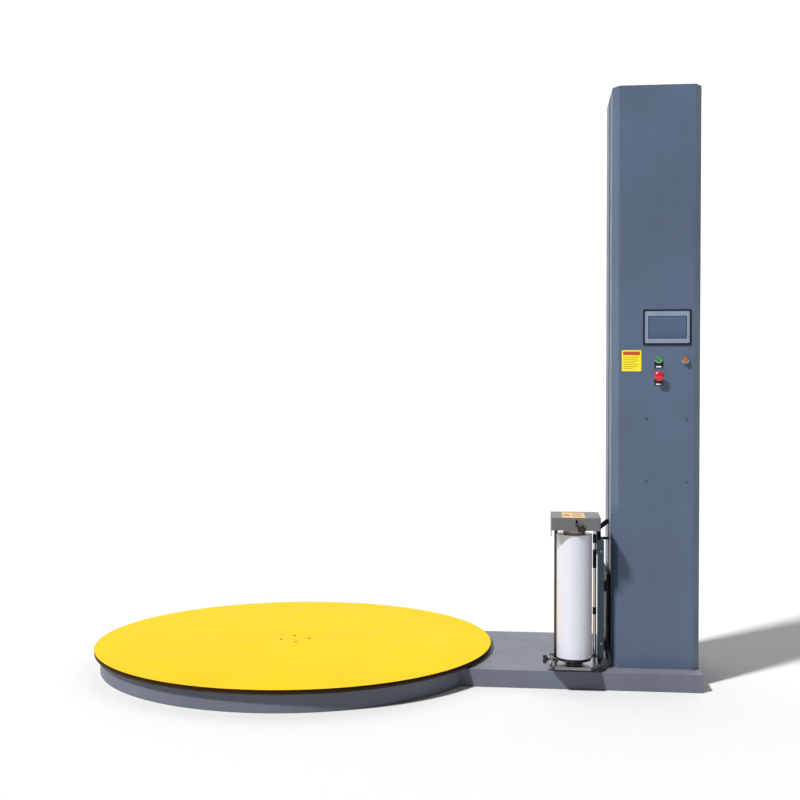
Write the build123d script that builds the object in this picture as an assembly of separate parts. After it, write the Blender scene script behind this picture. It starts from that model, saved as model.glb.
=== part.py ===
from build123d import *
import math
import os

os.makedirs("parts", exist_ok=True)

# Turntable pallet wrapper. Millimetres, +Z up. The origin is on the floor, on the turntable's axis.
# +X points from the turntable to the mast, and -Y is the operator's side with the controls.

# ---------------------------------------------------------------- overall sizes
TABLE_D = 1650.0          # turntable plate
TABLE_TOP = 90.0          # loading height
TABLE_THICK = 10.0
BEAM_WIDTH = 696.0        # low beam that joins the round base to the mast
BEAM_TOP = 68.0
TABLE_TO_MAST = 475.0     # from the turntable's edge to the mast's side
MAST_WIDTH = 338.0        # along X
MAST_DEPTH = 394.0        # along Y
MAST_TOP = 2315.0
MAST_FRONT_Y = -275.0

# ---------------------------------------------------------------- sheets and clearances
SHEET = 3.0               # folded panels
FLOOR_THICK = 5.0         # floor plate
RUN_FIT = 0.05            # radial clearance of a turning or sliding fit
CLEAR = 0.3               # gap between curved faces that pass or roll on each other
SEAM = 1.0                # gap between neighbouring panels

# ---------------------------------------------------------------- turntable
RIM_WIDTH = 10.0
RIM_DROP = 8.0
RIM_INSET = 2.0
SKIRT_INSET = 25.0        # the skirt stands this far inside the plate's edge
SKIRT_GAP = 4.0           # the skirt's top below the rim
ROLLER_COUNT = 6
ROLLER_R = 26.0
ROLLER_WIDTH = 24.0
ROLLER_INSET = 160.0      # from the skirt to the rollers' circle
AXLE_R = 8.0
BRACKET_THICK = 5.0
BRACKET_WIDTH = 44.0
HUB_FLANGE_R = 85.0
HUB_SLEEVE_R = 60.0
HUB_BORE_R = 50.0
HUB_BOLT_R = 59.0
HUB_BOLT_TURN = 14.0      # degrees
HUB_BOLT_HEAD_R = 9.0
SPINDLE_R = 30.0
BEARING_HEIGHT = 16.0
RIB_HEIGHT = 25.0
RIB_THICK = 8.0

# ---------------------------------------------------------------- table drive
CHAIN_PITCH = 15.875
TABLE_TEETH = 75
DRIVE_TEETH = 15
SPROCKET_Z = 36.0
SPROCKET_THICK = 8.0
CHAIN_DEPTH = 6.0
DRIVE_SHAFT_R = 12.5
GEARBOX_SIDE = 110.0
GEARBOX_HEIGHT = 92.0
MOTOR_R = 58.0
MOTOR_LENGTH = 180.0
FIN_COUNT = 9
FIN_PITCH = 14.0

# ---------------------------------------------------------------- mast
CHAMFER_X = 25.0
CHAMFER_Y = 41.0
SLOT_CENTRE_Y = -85.0
SLOT_WIDTH = 54.0
BASE_PLATE_THICK = 10.0
GLAND_R = 9.0             # opening for the mains cable in the beam's end
GLAND_INSET = 60.0
GLAND_Z = 32.0
RAIL_DEPTH = 15.0
RAIL_SPREAD = 57.0        # from the slot's centre to each rail's centre
SHOE_GAP = 0.5            # between each nylon shoe and its rail
DOOR_BOTTOM = 118.0
DOOR_TOP = 1480.0
DOOR_RETURN = 8.0
HINGE_R = 6.0
HINGE_PIN_R = 3.0
HINGE_LENGTH = 60.0
HINGE_HEIGHTS = (260.0, 800.0, 1340.0)
LATCH_R = 13.0
LATCH_Z = 800.0

# ---------------------------------------------------------------- lift drive
LIFT_PITCH = 12.7
LIFT_TEETH = 12
LIFT_WIDTH = 8.0
LIFT_TOP_DROP = 65.0      # upper chain wheel below the mast's top
LIFT_BOTTOM_RISE = 50.0   # idler above the mast's base plate
LIFT_SHAFT_R = 8.0
LIFT_CHAIN_DEPTH = 5.0

# ---------------------------------------------------------------- controls
HMI_WIDTH = 167.0
HMI_HEIGHT = 122.0
HMI_INSET = 130.0         # from the mast's right side to the touch panel's centre
HMI_Z = 1388.0
HMI_PROUD = 9.0
SCREEN_WIDTH = 140.0
SCREEN_HEIGHT = 81.0
BUTTON_R = 10.9
COLLAR_R = 14.5
COLLAR_PROUD = 6.0
BUTTON_INSET = 161.0      # from the mast's right side to the two buttons
START_Z = 1265.0
STOP_Z = 1200.0
LAMP_INSET = 61.0
LAMP_Z = 1263.0
MODULE_PLATE_WIDTH = 185.0
MODULE_SCREW_SPAN = 152.0
MODULE_SCREW_HEIGHTS = (795.0, 1035.0)
RELAY_COUNT = 3
RELAY_WIDTH = 16.0
STOP_HEAD_R = 19.5
STOP_HEAD_THICK = 13.0
STOP_GAP = 7.0
STEM_REACH = 14.0         # buttons and lamp behind the panel's face
LAMP_PROUD = 18.0
START_TRAVEL = 4.0
STOP_TRAVEL = 5.0

# ---------------------------------------------------------------- film carriage
ROLL_TO_MAST = 143.0      # from the roll's axis to the mast's side
ROLL_Y = -320.0
FILM_D = 135.0
FILM_WEB = 475.0
CORE_ID = 76.2
CORE_WALL = 4.0
CORE_LENGTH = 490.0
CORE_BELOW_WEB = 3.5
DECK_GAP = 22.0           # from the beam's top to the tray at the lowest position
TRAY_THICK = 3.0
TRAY_LIP = 8.0
TRAY_TO_FLANGE = 17.0
FLANGE_R = 64.0
FLANGE_THICK = 8.0
HEAD_HEIGHT = 48.0
HEAD_ABOVE_CORE = 9.0
HEAD_SHEET = 2.0
YOKE_BAR = 8.0
LEFT_REACH = 90.0         # from the roll's axis to the head's left face
RIGHT_REACH = 96.0
FRONT_REACH = 83.0
BACK_REACH = 130.0
POST_R = 6.75
TENSION_R = 7.5
JOURNAL_R = 4.0
COLUMN_WIDTH = 23.0
COLUMN_DEPTH = 72.0
COLUMN_TO_HEAD = 56.0     # column's top below the head
MANDREL_TUBE_R = 12.0
MANDREL_TRAVEL = 14.0
SPIGOT_FLANGE = 4.0
SPIGOT_JOURNAL_R = 8.0
LIFT_PIN_R = 3.0
KNOB_R = 17.0
KNOB_LOBES = 5
KNOB_THICK = 14.0
STUD_R = 4.0
TROLLEY_THICK = 8.0
TROLLEY_DROP = 133.0      # trolley plate's top below the column's top
SLIDER_RISE = 79.0        # slider's top above the column's top
ARM_THICK = 12.0
LUG_WIDTH = 40.0

# ---------------------------------------------------------------- places worked out from the sizes
TABLE_R = TABLE_D / 2
TABLE_BOTTOM = TABLE_TOP - TABLE_THICK
SKIRT_R = TABLE_R - SKIRT_INSET
SKIRT_TOP = TABLE_BOTTOM - RIM_DROP - SKIRT_GAP
TRACK_R = SKIRT_R - ROLLER_INSET
ROLLER_Z = TABLE_BOTTOM - CLEAR - ROLLER_R
HALF_BEAM = BEAM_WIDTH / 2
MAST_X0 = TABLE_R + TABLE_TO_MAST
MAST_X1 = MAST_X0 + MAST_WIDTH
MAST_BACK_Y = MAST_FRONT_Y + MAST_DEPTH
BEAM_END = MAST_X1 + 2.0
HMI_X = MAST_X1 - HMI_INSET
START_X = STOP_X = MAST_X1 - BUTTON_INSET
LAMP_X = MAST_X1 - LAMP_INSET
FRONT_STRIP_Y = MAST_FRONT_Y + 71.0
REAR_LIP_Y = HALF_BEAM - 22.0
COVER_END = MAST_X0 - SHEET
MAST_BASE_Z = BEAM_TOP - BASE_PLATE_THICK
LIFT_TOP_Z = MAST_TOP - LIFT_TOP_DROP
DRIVE_X = MAST_X0 + MAST_WIDTH / 2
TABLE_PITCH_R = CHAIN_PITCH / (2 * math.sin(math.pi / TABLE_TEETH))
DRIVE_PITCH_R = CHAIN_PITCH / (2 * math.sin(math.pi / DRIVE_TEETH))
LIFT_PITCH_R = LIFT_PITCH / (2 * math.sin(math.pi / LIFT_TEETH))
INNER_X0 = MAST_X0 + SHEET
INNER_X1 = MAST_X1 - SHEET
HINGE_X = INNER_X1 - 4.0
HINGE_Y = MAST_BACK_Y + HINGE_R + 0.5
RAIL_CENTRES = (SLOT_CENTRE_Y - RAIL_SPREAD, SLOT_CENTRE_Y + RAIL_SPREAD)

ROLL_X = MAST_X0 - ROLL_TO_MAST
TRAY_Z = BEAM_TOP + DECK_GAP
TRAY_TOP = TRAY_Z + TRAY_THICK
FLANGE_TOP = TRAY_TOP + TRAY_TO_FLANGE + FLANGE_THICK
CORE_Z0 = FLANGE_TOP
CORE_Z1 = CORE_Z0 + CORE_LENGTH
WEB_Z0 = CORE_Z0 + CORE_BELOW_WEB
HEAD_Z0 = CORE_Z1 + HEAD_ABOVE_CORE
HEAD_Z1 = HEAD_Z0 + HEAD_HEIGHT
HEAD_X0, HEAD_X1 = ROLL_X - LEFT_REACH, ROLL_X + RIGHT_REACH
HEAD_Y0, HEAD_Y1 = ROLL_Y - FRONT_REACH, ROLL_Y + BACK_REACH
COLUMN_X0 = HEAD_X1 - 3.0
COLUMN_X1 = COLUMN_X0 + COLUMN_WIDTH
COLUMN_Y0, COLUMN_Y1 = HEAD_Y1 - COLUMN_DEPTH, HEAD_Y1
COLUMN_TOP = HEAD_Z0 - COLUMN_TO_HEAD
TROLLEY_TOP = COLUMN_TOP - TROLLEY_DROP
SLIDER_TOP = COLUMN_TOP + SLIDER_RISE
TENSION_X, TENSION_Y = COLUMN_X0 - 11.5, HEAD_Y1 - 38.0
POST_X, POST_Y = ROLL_X - 69.5, ROLL_Y + 60.0
PIN_X = ROLL_X + 6.0
LOCK_X, LOCK_Z = ROLL_X + 23.0, HEAD_Z0 + 7.0
BRAKE_Y, BRAKE_Z = ROLL_Y - 30.0, FLANGE_TOP - FLANGE_THICK / 2
TROLLEY_X1 = MAST_X0 - 8.0
TROLLEY_X0 = TROLLEY_X1 - TROLLEY_THICK
TROLLEY_Y0, TROLLEY_Y1 = COLUMN_Y0 + 22.0, MAST_BACK_Y - 29.0
SLIDER_X0 = INNER_X0 + RAIL_DEPTH + 6.0
SLIDER_X1 = SLIDER_X0 + TROLLEY_THICK
CLAMP_X1 = SLIDER_X1 + 8.0
LIFT_X0 = CLAMP_X1 + CLEAR
LIFT_Y = SLOT_CENTRE_Y + LIFT_PITCH_R
LIFT_BOTTOM_Z = BEAM_TOP + LIFT_BOTTOM_RISE
LUG_HEIGHTS = ((TRAY_Z + 40.0, TRAY_Z + 80.0), (TROLLEY_TOP - 68.0, TROLLEY_TOP - 28.0))


# ---------------------------------------------------------------- shape helpers
def block(x0, x1, y0, y1, z0, z1):
    """A box between two corners."""
    place = Pos((x0 + x1) / 2, (y0 + y1) / 2, (z0 + z1) / 2)
    return place * Box(x1 - x0, y1 - y0, z1 - z0)


def post(x, y, z0, z1, r):
    """An upright cylinder."""
    return Pos(x, y, (z0 + z1) / 2) * Cylinder(r, z1 - z0)


def bar_x(x0, x1, y, z, r):
    """A cylinder along X."""
    return Pos((x0 + x1) / 2, y, z) * Rot(0, 90, 0) * Cylinder(r, x1 - x0)


def bar_y(x, y0, y1, z, r):
    """A cylinder along Y."""
    return Pos(x, (y0 + y1) / 2, z) * Rot(90, 0, 0) * Cylinder(r, y1 - y0)


def ring(x, y, z0, z1, outer, inner):
    """An upright tube."""
    return post(x, y, z0, z1, outer) - post(x, y, z0 - 1, z1 + 1, inner)


def slab(points, z0, z1):
    """An outline in plan, given a height."""
    return extrude(Pos(0, 0, z0) * make_face(Polyline(*points, close=True)), z1 - z0)


def sprocket(pitch, teeth, thick, bore):
    """A chain wheel about Z, from z=0 up, with round tooth gaps."""
    pitch_r = pitch / (2 * math.sin(math.pi / teeth))
    gaps = Sketch() + PolarLocations(pitch_r, teeth) * Circle(pitch * 0.31)
    return extrude(Circle(pitch_r + pitch * 0.26) - gaps - Circle(bore), thick)


def chain_loop(pitch, near_r, far_r, distance, depth, width):
    """A closed chain round two wheels, the near one at the origin, the far one at +X."""
    tip = pitch * 0.26 + CLEAR

    def outline(extra):
        near = Circle(near_r + tip + extra)
        far = Pos(distance, 0) * Circle(far_r + tip + extra)
        return make_hull(near.edges() + far.edges())

    return extrude(outline(depth) - outline(0), width)


def star_knob():
    """A five-lobed grip about Z, from z=0 up, with its clamping stud reaching below."""
    lobe_r = KNOB_R * 0.36
    lobes = PolarLocations(KNOB_R - lobe_r, KNOB_LOBES) * Circle(lobe_r)
    grip = extrude(Circle(KNOB_R * 0.68) + lobes, KNOB_THICK)
    collar = Pos(0, 0, -3) * Cylinder(KNOB_R * 0.45, 6)
    return grip + collar


def grouped(pieces):
    """Separate solids that share one node."""
    return Compound(children=[Part() + piece for piece in pieces])


# ---------------------------------------------------------------- round base
def floor_plate():
    plate = post(0, 0, 0, FLOOR_THICK, SKIRT_R)
    return plate + block(0, BEAM_END, -HALF_BEAM, HALF_BEAM, 0, FLOOR_THICK)


def base_skirt():
    wall = ring(0, 0, FLOOR_THICK, SKIRT_TOP, SKIRT_R, SKIRT_R - SHEET)
    half = TABLE_PITCH_R - 30.0
    window = block(0, SKIRT_R + 1, -half, half, SPROCKET_Z - 6, SPROCKET_Z + SPROCKET_THICK + 8)
    return wall - window


def base_ribs():
    """Flat bars on the floor plate, laid like spokes between the rollers."""
    inner, outer = HUB_FLANGE_R + 30, SKIRT_R - SHEET
    half = RIB_THICK / 2
    rib = block(inner, outer - 2, -half, half, FLOOR_THICK, FLOOR_THICK + RIB_HEIGHT)
    return [Rot(0, 0, 360 / ROLLER_COUNT * k) * rib for k in range(ROLLER_COUNT)]


def beam_ribs():
    """Cross plates that carry the cover and the mast, with a window for the chain."""
    gap = TABLE_PITCH_R - 30.0
    window_top = SPROCKET_Z + SPROCKET_THICK + 8
    run = COVER_END - SKIRT_R
    tall = [(SKIRT_R + run * k, BEAM_TOP - SHEET) for k in (0.25, 0.6, 0.93)]
    short = [(MAST_X0 + 20, MAST_BASE_Z), (MAST_X1 - 20, MAST_BASE_Z)]
    ribs = []
    for x, top in tall + short:
        wall = HALF_BEAM - SHEET
        plate = block(x, x + BRACKET_THICK, -wall, wall, FLOOR_THICK, top)
        ribs.append(plate - block(x - 1, x + 6, -gap, gap, SPROCKET_Z - 6, window_top))
    return ribs


def frame_ribs():
    return grouped(base_ribs() + beam_ribs())


def roller_turns():
    """The rollers' directions, in degrees from +X."""
    step = 360 / ROLLER_COUNT
    return [step / 2 + step * k for k in range(ROLLER_COUNT)]


def roller_brackets():
    """Two upright cheeks and an axle under each support roller."""
    pieces = []
    near = ROLLER_WIDTH / 2 + 1.5
    half = BRACKET_WIDTH / 2
    top = ROLLER_Z + AXLE_R + 4
    for turn in roller_turns():
        for x0 in (TRACK_R - near - BRACKET_THICK, TRACK_R + near):
            cheek = block(x0, x0 + BRACKET_THICK, -half, half, FLOOR_THICK, top)
            cheek -= bar_x(x0 - 1, x0 + BRACKET_THICK + 1, 0, ROLLER_Z, AXLE_R)
            pieces.append(Rot(0, 0, turn) * cheek)
        reach = near + BRACKET_THICK + 2
        axle = bar_x(TRACK_R - reach, TRACK_R + reach, 0, ROLLER_Z, AXLE_R)
        pieces.append(Rot(0, 0, turn) * axle)
    return grouped(pieces)


def support_roller(turn):
    half = ROLLER_WIDTH / 2
    tyre = bar_x(TRACK_R - half, TRACK_R + half, 0, ROLLER_Z, ROLLER_R)
    tyre = fillet(tyre.edges().filter_by(GeomType.CIRCLE), 2)
    bore = bar_x(TRACK_R - half - 1, TRACK_R + half + 1, 0, ROLLER_Z, AXLE_R + RUN_FIT)
    return Rot(0, 0, turn) * (tyre - bore)


def centre_spindle():
    """The fixed pin on a foot flange, with the ball bearing's inner ring and balls as collars."""
    foot = post(0, 0, FLOOR_THICK, FLOOR_THICK + 12, HUB_SLEEVE_R)
    pin = post(0, 0, FLOOR_THICK, TABLE_BOTTOM - 4, SPINDLE_R)
    bearing_z = SPROCKET_Z + SPROCKET_THICK + 2
    race = post(0, 0, bearing_z, bearing_z + BEARING_HEIGHT, HUB_BORE_R - RUN_FIT)
    return foot + pin + race


# ---------------------------------------------------------------- turntable
def turntable_plate():
    plate = post(0, 0, TABLE_BOTTOM, TABLE_TOP, TABLE_R)
    for x, y in hub_bolt_places():
        plate -= post(x, y, TABLE_BOTTOM - 1, TABLE_TOP + 1, HUB_BOLT_HEAD_R)
    return plate


def hub_bolt_places():
    """The four countersunk bolts that hold the plate to its hub."""
    turns = [math.radians(HUB_BOLT_TURN + 90 * k) for k in range(4)]
    return [(HUB_BOLT_R * math.cos(t), HUB_BOLT_R * math.sin(t)) for t in turns]


def turntable_rim():
    outer = TABLE_R - RIM_INSET
    return ring(0, 0, TABLE_BOTTOM - RIM_DROP, TABLE_BOTTOM, outer, outer - RIM_WIDTH)


def turntable_hub():
    flange_z = TABLE_BOTTOM - RIM_DROP
    hub = post(0, 0, flange_z, TABLE_BOTTOM, HUB_FLANGE_R)
    hub += post(0, 0, SPROCKET_Z, flange_z, HUB_SLEEVE_R)
    return hub - post(0, 0, SPROCKET_Z - 1, TABLE_BOTTOM + 1, HUB_BORE_R)


def turntable_sprocket():
    return Pos(0, 0, SPROCKET_Z) * sprocket(CHAIN_PITCH, TABLE_TEETH, SPROCKET_THICK, HUB_SLEEVE_R)


def table_bolts():
    bolts = []
    for x, y in hub_bolt_places():
        head = post(x, y, TABLE_BOTTOM, TABLE_TOP + 0.5, HUB_BOLT_HEAD_R)
        socket = RegularPolygon(3.5, 6)
        head -= Pos(x, y, TABLE_TOP - 4) * extrude(socket, 5)
        bolts.append(head)
    return grouped(bolts)


# ---------------------------------------------------------------- table drive
def table_gearmotor():
    """Worm gearbox on the mast's base plate, with its motor standing on it."""
    half = GEARBOX_SIDE / 2
    top = BEAM_TOP + GEARBOX_HEIGHT
    box = block(DRIVE_X - half, DRIVE_X + half, -half, half, BEAM_TOP, top)
    box = fillet(box.edges().filter_by(Axis.Z), 8)
    box -= post(DRIVE_X, 0, BEAM_TOP - 1, BEAM_TOP + 40, DRIVE_SHAFT_R + RUN_FIT)
    motor = post(DRIVE_X, 0, top, top + MOTOR_LENGTH, MOTOR_R)
    for k in range(FIN_COUNT):
        z = top + 20 + FIN_PITCH * k
        motor += post(DRIVE_X, 0, z, z + 5, MOTOR_R + 5)
    terminal = block(DRIVE_X + MOTOR_R - 10, DRIVE_X + MOTOR_R + 30, -30, 30, top + 45, top + 120)
    return box + motor + terminal


def table_drive_sprocket():
    wheel = sprocket(CHAIN_PITCH, DRIVE_TEETH, SPROCKET_THICK, DRIVE_SHAFT_R - 1)
    shaft = post(0, 0, -4, BEAM_TOP + 36 - SPROCKET_Z, DRIVE_SHAFT_R)
    return Pos(DRIVE_X, 0, SPROCKET_Z) * (wheel + shaft)


def table_drive_chain():
    loop = chain_loop(CHAIN_PITCH, TABLE_PITCH_R, DRIVE_PITCH_R, DRIVE_X, CHAIN_DEPTH, SPROCKET_THICK)
    return Pos(0, 0, SPROCKET_Z) * loop


# ---------------------------------------------------------------- beam
def beam_front_channel():
    deck = BEAM_TOP - SHEET
    wall = block(0, BEAM_END, -HALF_BEAM, SHEET - HALF_BEAM, FLOOR_THICK, BEAM_TOP)
    strip = block(0, BEAM_END, -HALF_BEAM, FRONT_STRIP_Y - SEAM / 2, deck, BEAM_TOP)
    return (wall + strip) - post(0, 0, 0, TABLE_TOP, SKIRT_R)


def beam_rear_channel():
    wall = block(0, BEAM_END, HALF_BEAM - SHEET, HALF_BEAM, FLOOR_THICK, BEAM_TOP)
    lip = block(0, BEAM_END, REAR_LIP_Y + SEAM / 2, HALF_BEAM, BEAM_TOP - SHEET, BEAM_TOP)
    return (wall + lip) - post(0, 0, 0, TABLE_TOP, SKIRT_R)


def cover_screw_places():
    """Screws along both long edges of the cover, and its strip behind the mast."""
    first, last = SKIRT_R + 40, COVER_END - 30
    count = 4
    xs = [first + (last - first) * k / (count - 1) for k in range(count)]
    return [(x, y) for x in xs for y in (FRONT_STRIP_Y + 12, REAR_LIP_Y - 12)]


def beam_cover():
    deck = BEAM_TOP - SHEET
    y0, y1 = FRONT_STRIP_Y + SEAM / 2, REAR_LIP_Y - SEAM / 2
    cover = block(0, COVER_END, y0, y1, deck, BEAM_TOP) - post(0, 0, 0, TABLE_TOP, SKIRT_R + SEAM)
    for x, y in cover_screw_places():
        cover -= post(x, y, deck - 1, BEAM_TOP + 1, 5)
    return cover


def beam_cover_screws():
    screws = []
    for x, y in cover_screw_places():
        head = post(x, y, BEAM_TOP - SHEET, BEAM_TOP + 0.6, 5)
        screws.append(head - Pos(x, y, BEAM_TOP - 1) * extrude(RegularPolygon(2, 6), 3))
    return grouped(screws)


def mast_base_plate():
    """Thick plate under the mast, its turned-down end, and the lift chain's lower pin."""
    y0, y1 = FRONT_STRIP_Y + SEAM / 2, REAR_LIP_Y - SEAM / 2
    plate = block(COVER_END + SEAM, BEAM_END - SHEET, y0, y1, MAST_BASE_Z, BEAM_TOP)
    plate -= post(DRIVE_X, 0, MAST_BASE_Z - 1, BEAM_TOP + 1, DRIVE_SHAFT_R + 2)
    wall = HALF_BEAM - SHEET
    plate += block(BEAM_END - SHEET, BEAM_END, -wall, wall, FLOOR_THICK, BEAM_TOP - SHEET)
    plate -= bar_x(BEAM_END - SHEET - 1, BEAM_END + 1, wall - GLAND_INSET, GLAND_Z, GLAND_R)
    far = LIFT_X0 + LIFT_WIDTH
    upright_top = LIFT_BOTTOM_Z + 25
    upright = block(far + 4, far + 10, LIFT_Y - 30, LIFT_Y + 30, BEAM_TOP, upright_top)
    pin = bar_x(LIFT_X0 - 2, far + 4, LIFT_Y, LIFT_BOTTOM_Z, LIFT_SHAFT_R)
    shoulder = bar_x(far + 0.5, far + 4, LIFT_Y, LIFT_BOTTOM_Z, LIFT_SHAFT_R + 4)
    return plate + upright + pin + shoulder


# ---------------------------------------------------------------- mast
def mast_outline(inset):
    """The mast's outline in plan, with both front corners cut, moved in by a sheet's thickness."""
    x0, x1 = MAST_X0 + inset, MAST_X1 - inset
    y0, y1 = MAST_FRONT_Y + inset, MAST_BACK_Y - inset
    cut = inset * math.tan(math.atan2(CHAMFER_X, CHAMFER_Y) / 2)
    cut_y = inset * math.tan(math.atan2(CHAMFER_Y, CHAMFER_X) / 2)
    return [
        (x0 + CHAMFER_X - inset + cut_y, y0), (x1 - CHAMFER_X + inset - cut_y, y0),
        (x1, y0 + CHAMFER_Y - inset + cut), (x1, y1), (x0, y1), (x0, y0 + CHAMFER_Y - inset + cut),
    ]


def mast_front_panel():
    """One folded sheet: the front face and both bevelled corners."""
    top = MAST_TOP - SHEET
    shell = slab(mast_outline(0), BEAM_TOP, top) - slab(mast_outline(SHEET), BEAM_TOP - 1, top + 1)
    corner_y = MAST_FRONT_Y + CHAMFER_Y
    panel = shell - block(MAST_X0 - 1, MAST_X1 + 1, corner_y, MAST_BACK_Y + 1, 0, MAST_TOP + 1)
    y0, y1 = MAST_FRONT_Y - 1, MAST_FRONT_Y + SHEET + 1
    cut_w, cut_h = HMI_WIDTH / 2 - 6, HMI_HEIGHT / 2 - 6
    panel -= block(HMI_X - cut_w, HMI_X + cut_w, y0, y1, HMI_Z - cut_h, HMI_Z + cut_h)
    for x, z in ((START_X, START_Z), (STOP_X, STOP_Z), (LAMP_X, LAMP_Z)):
        panel -= bar_y(x, y0, y1, z, BUTTON_R + CLEAR)
    return panel


def mast_left_cheeks():
    """The side that faces the turntable: two sheets with the carriage's slot between them."""
    top = MAST_TOP - SHEET
    half = SLOT_WIDTH / 2
    corner_y = MAST_FRONT_Y + CHAMFER_Y
    front = block(MAST_X0, INNER_X0, corner_y, SLOT_CENTRE_Y - half, BEAM_TOP, top)
    rear = block(MAST_X0, INNER_X0, SLOT_CENTRE_Y + half, MAST_BACK_Y, BEAM_TOP, top)
    return grouped([front, rear])


def mast_right_panel():
    corner_y = MAST_FRONT_Y + CHAMFER_Y
    return block(INNER_X1, MAST_X1, corner_y, MAST_BACK_Y, BEAM_TOP, MAST_TOP - SHEET)


def mast_rear_panels():
    """The fixed rear sheets above and below the door."""
    x0, x1 = INNER_X0, INNER_X1
    y0, y1 = MAST_BACK_Y - SHEET, MAST_BACK_Y
    kick = block(x0, x1, y0, y1, BEAM_TOP, DOOR_BOTTOM - SEAM)
    upper = block(x0, x1, y0, y1, DOOR_TOP + SEAM, MAST_TOP - SHEET)
    return grouped([kick, upper])


def mast_top_cap():
    return slab(mast_outline(0), MAST_TOP - SHEET, MAST_TOP)


def guide_rails():
    """Two square bars inside the mast, one on each side of the slot."""
    half = RAIL_DEPTH / 2
    x0, x1 = INNER_X0, INNER_X0 + RAIL_DEPTH
    return grouped([block(x0, x1, y - half, y + half, BEAM_TOP, LIFT_TOP_Z) for y in RAIL_CENTRES])


def rear_door():
    """Door sheet with folded sides and the turning halves of its hinges."""
    x0, x1 = INNER_X0 + SEAM, INNER_X1 - SEAM
    y0, y1 = MAST_BACK_Y - SHEET, MAST_BACK_Y
    door = block(x0, x1, y0, y1, DOOR_BOTTOM, DOOR_TOP)
    fold_y = y0 - DOOR_RETURN
    door += block(x0 + 14, x0 + 16, fold_y, y0, DOOR_BOTTOM + 20, DOOR_TOP - 20)
    door += block(x1 - 26, x1 - 24, fold_y, y0, DOOR_BOTTOM + 20, DOOR_TOP - 20)
    door -= bar_y(latch_x(), y0 - 1, y1 + 1, LATCH_Z, BUTTON_R + RUN_FIT)
    for z in HINGE_HEIGHTS:
        leaf = block(HINGE_X - 34, HINGE_X, y1, y1 + 2.5, z + 1, z + HINGE_LENGTH / 2)
        leaf += post(HINGE_X, HINGE_Y, z + 1, z + HINGE_LENGTH / 2, HINGE_R)
        door += leaf - post(HINGE_X, HINGE_Y, z, z + HINGE_LENGTH, HINGE_PIN_R + RUN_FIT)
    return door


def door_hinge_pins():
    """The fixed hinge halves on the mast's side, each with its pin."""
    pieces = []
    for z in HINGE_HEIGHTS:
        low = z - HINGE_LENGTH / 2
        knuckle = post(HINGE_X, HINGE_Y, low, z, HINGE_R)
        knuckle += block(HINGE_X, MAST_X1, MAST_BACK_Y, HINGE_Y + HINGE_R, low, z)
        knuckle -= post(HINGE_X, HINGE_Y, low - 1, z + 1, HINGE_PIN_R)
        pieces.append(knuckle)
        pieces.append(post(HINGE_X, HINGE_Y, low, z + HINGE_LENGTH / 2, HINGE_PIN_R))
    return grouped(pieces)


def latch_x():
    return INNER_X0 + 40.0


def door_latch():
    """Quarter-turn lock: a round head with a finger bar outside and a cam inside."""
    x, y = latch_x(), MAST_BACK_Y
    latch = bar_y(x, y - SHEET - 12, y, LATCH_Z, BUTTON_R)
    latch += bar_y(x, y + CLEAR, y + 4, LATCH_Z, LATCH_R) + bar_y(x, y, y + 1, LATCH_Z, BUTTON_R)
    latch += block(x - 3, x + 3, y + 3, y + 12, LATCH_Z - 12, LATCH_Z + 12)
    latch += block(x - 7, x + 7, y - SHEET - 12, y - SHEET - 9, LATCH_Z - 34, LATCH_Z + 7)
    return latch


# ---------------------------------------------------------------- lift drive
def lift_gearmotor():
    """Motor and gearbox on a shelf near the mast's top."""
    x0 = LIFT_X0 + LIFT_WIDTH + 6
    z0 = LIFT_TOP_Z - 50
    box = block(x0, x0 + 90, LIFT_Y - 50, LIFT_Y + 50, z0, z0 + 95)
    box = fillet(box.edges().filter_by(Axis.X), 8)
    box -= bar_x(x0 - 1, x0 + 40, LIFT_Y, LIFT_TOP_Z, LIFT_SHAFT_R + 4 + RUN_FIT)
    motor = bar_x(x0 + 90, INNER_X1 - 12, LIFT_Y, LIFT_TOP_Z, 46)
    shelf = block(x0, INNER_X1, LIFT_Y - 80, MAST_BACK_Y - SHEET, z0 - 8, z0)
    return grouped([box + motor, shelf])


def lift_wheel(z, shaft_from, shaft_to, shaft_r, bore):
    """A chain wheel about X in the lift's chain plane."""
    wheel = sprocket(LIFT_PITCH, LIFT_TEETH, LIFT_WIDTH, bore)
    placed = Pos(LIFT_X0, LIFT_Y, z) * Rot(0, 90, 0) * wheel
    if shaft_to > shaft_from:
        placed += bar_x(shaft_from, shaft_to, LIFT_Y, z, shaft_r)
    return placed


def lift_drive_sprocket():
    reach = LIFT_X0 + LIFT_WIDTH + 40
    return lift_wheel(LIFT_TOP_Z, LIFT_X0, reach, LIFT_SHAFT_R + 4, LIFT_SHAFT_R)


def lift_idler_sprocket():
    return lift_wheel(LIFT_BOTTOM_Z, 0, 0, 0, LIFT_SHAFT_R + RUN_FIT)


def lift_chain():
    span = LIFT_TOP_Z - LIFT_BOTTOM_Z
    loop = chain_loop(LIFT_PITCH, LIFT_PITCH_R, LIFT_PITCH_R, span, LIFT_CHAIN_DEPTH, LIFT_WIDTH)
    upright = Rot(0, -90, 0) * loop
    return Pos(LIFT_X0 + LIFT_WIDTH, LIFT_Y, LIFT_BOTTOM_Z) * upright


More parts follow.
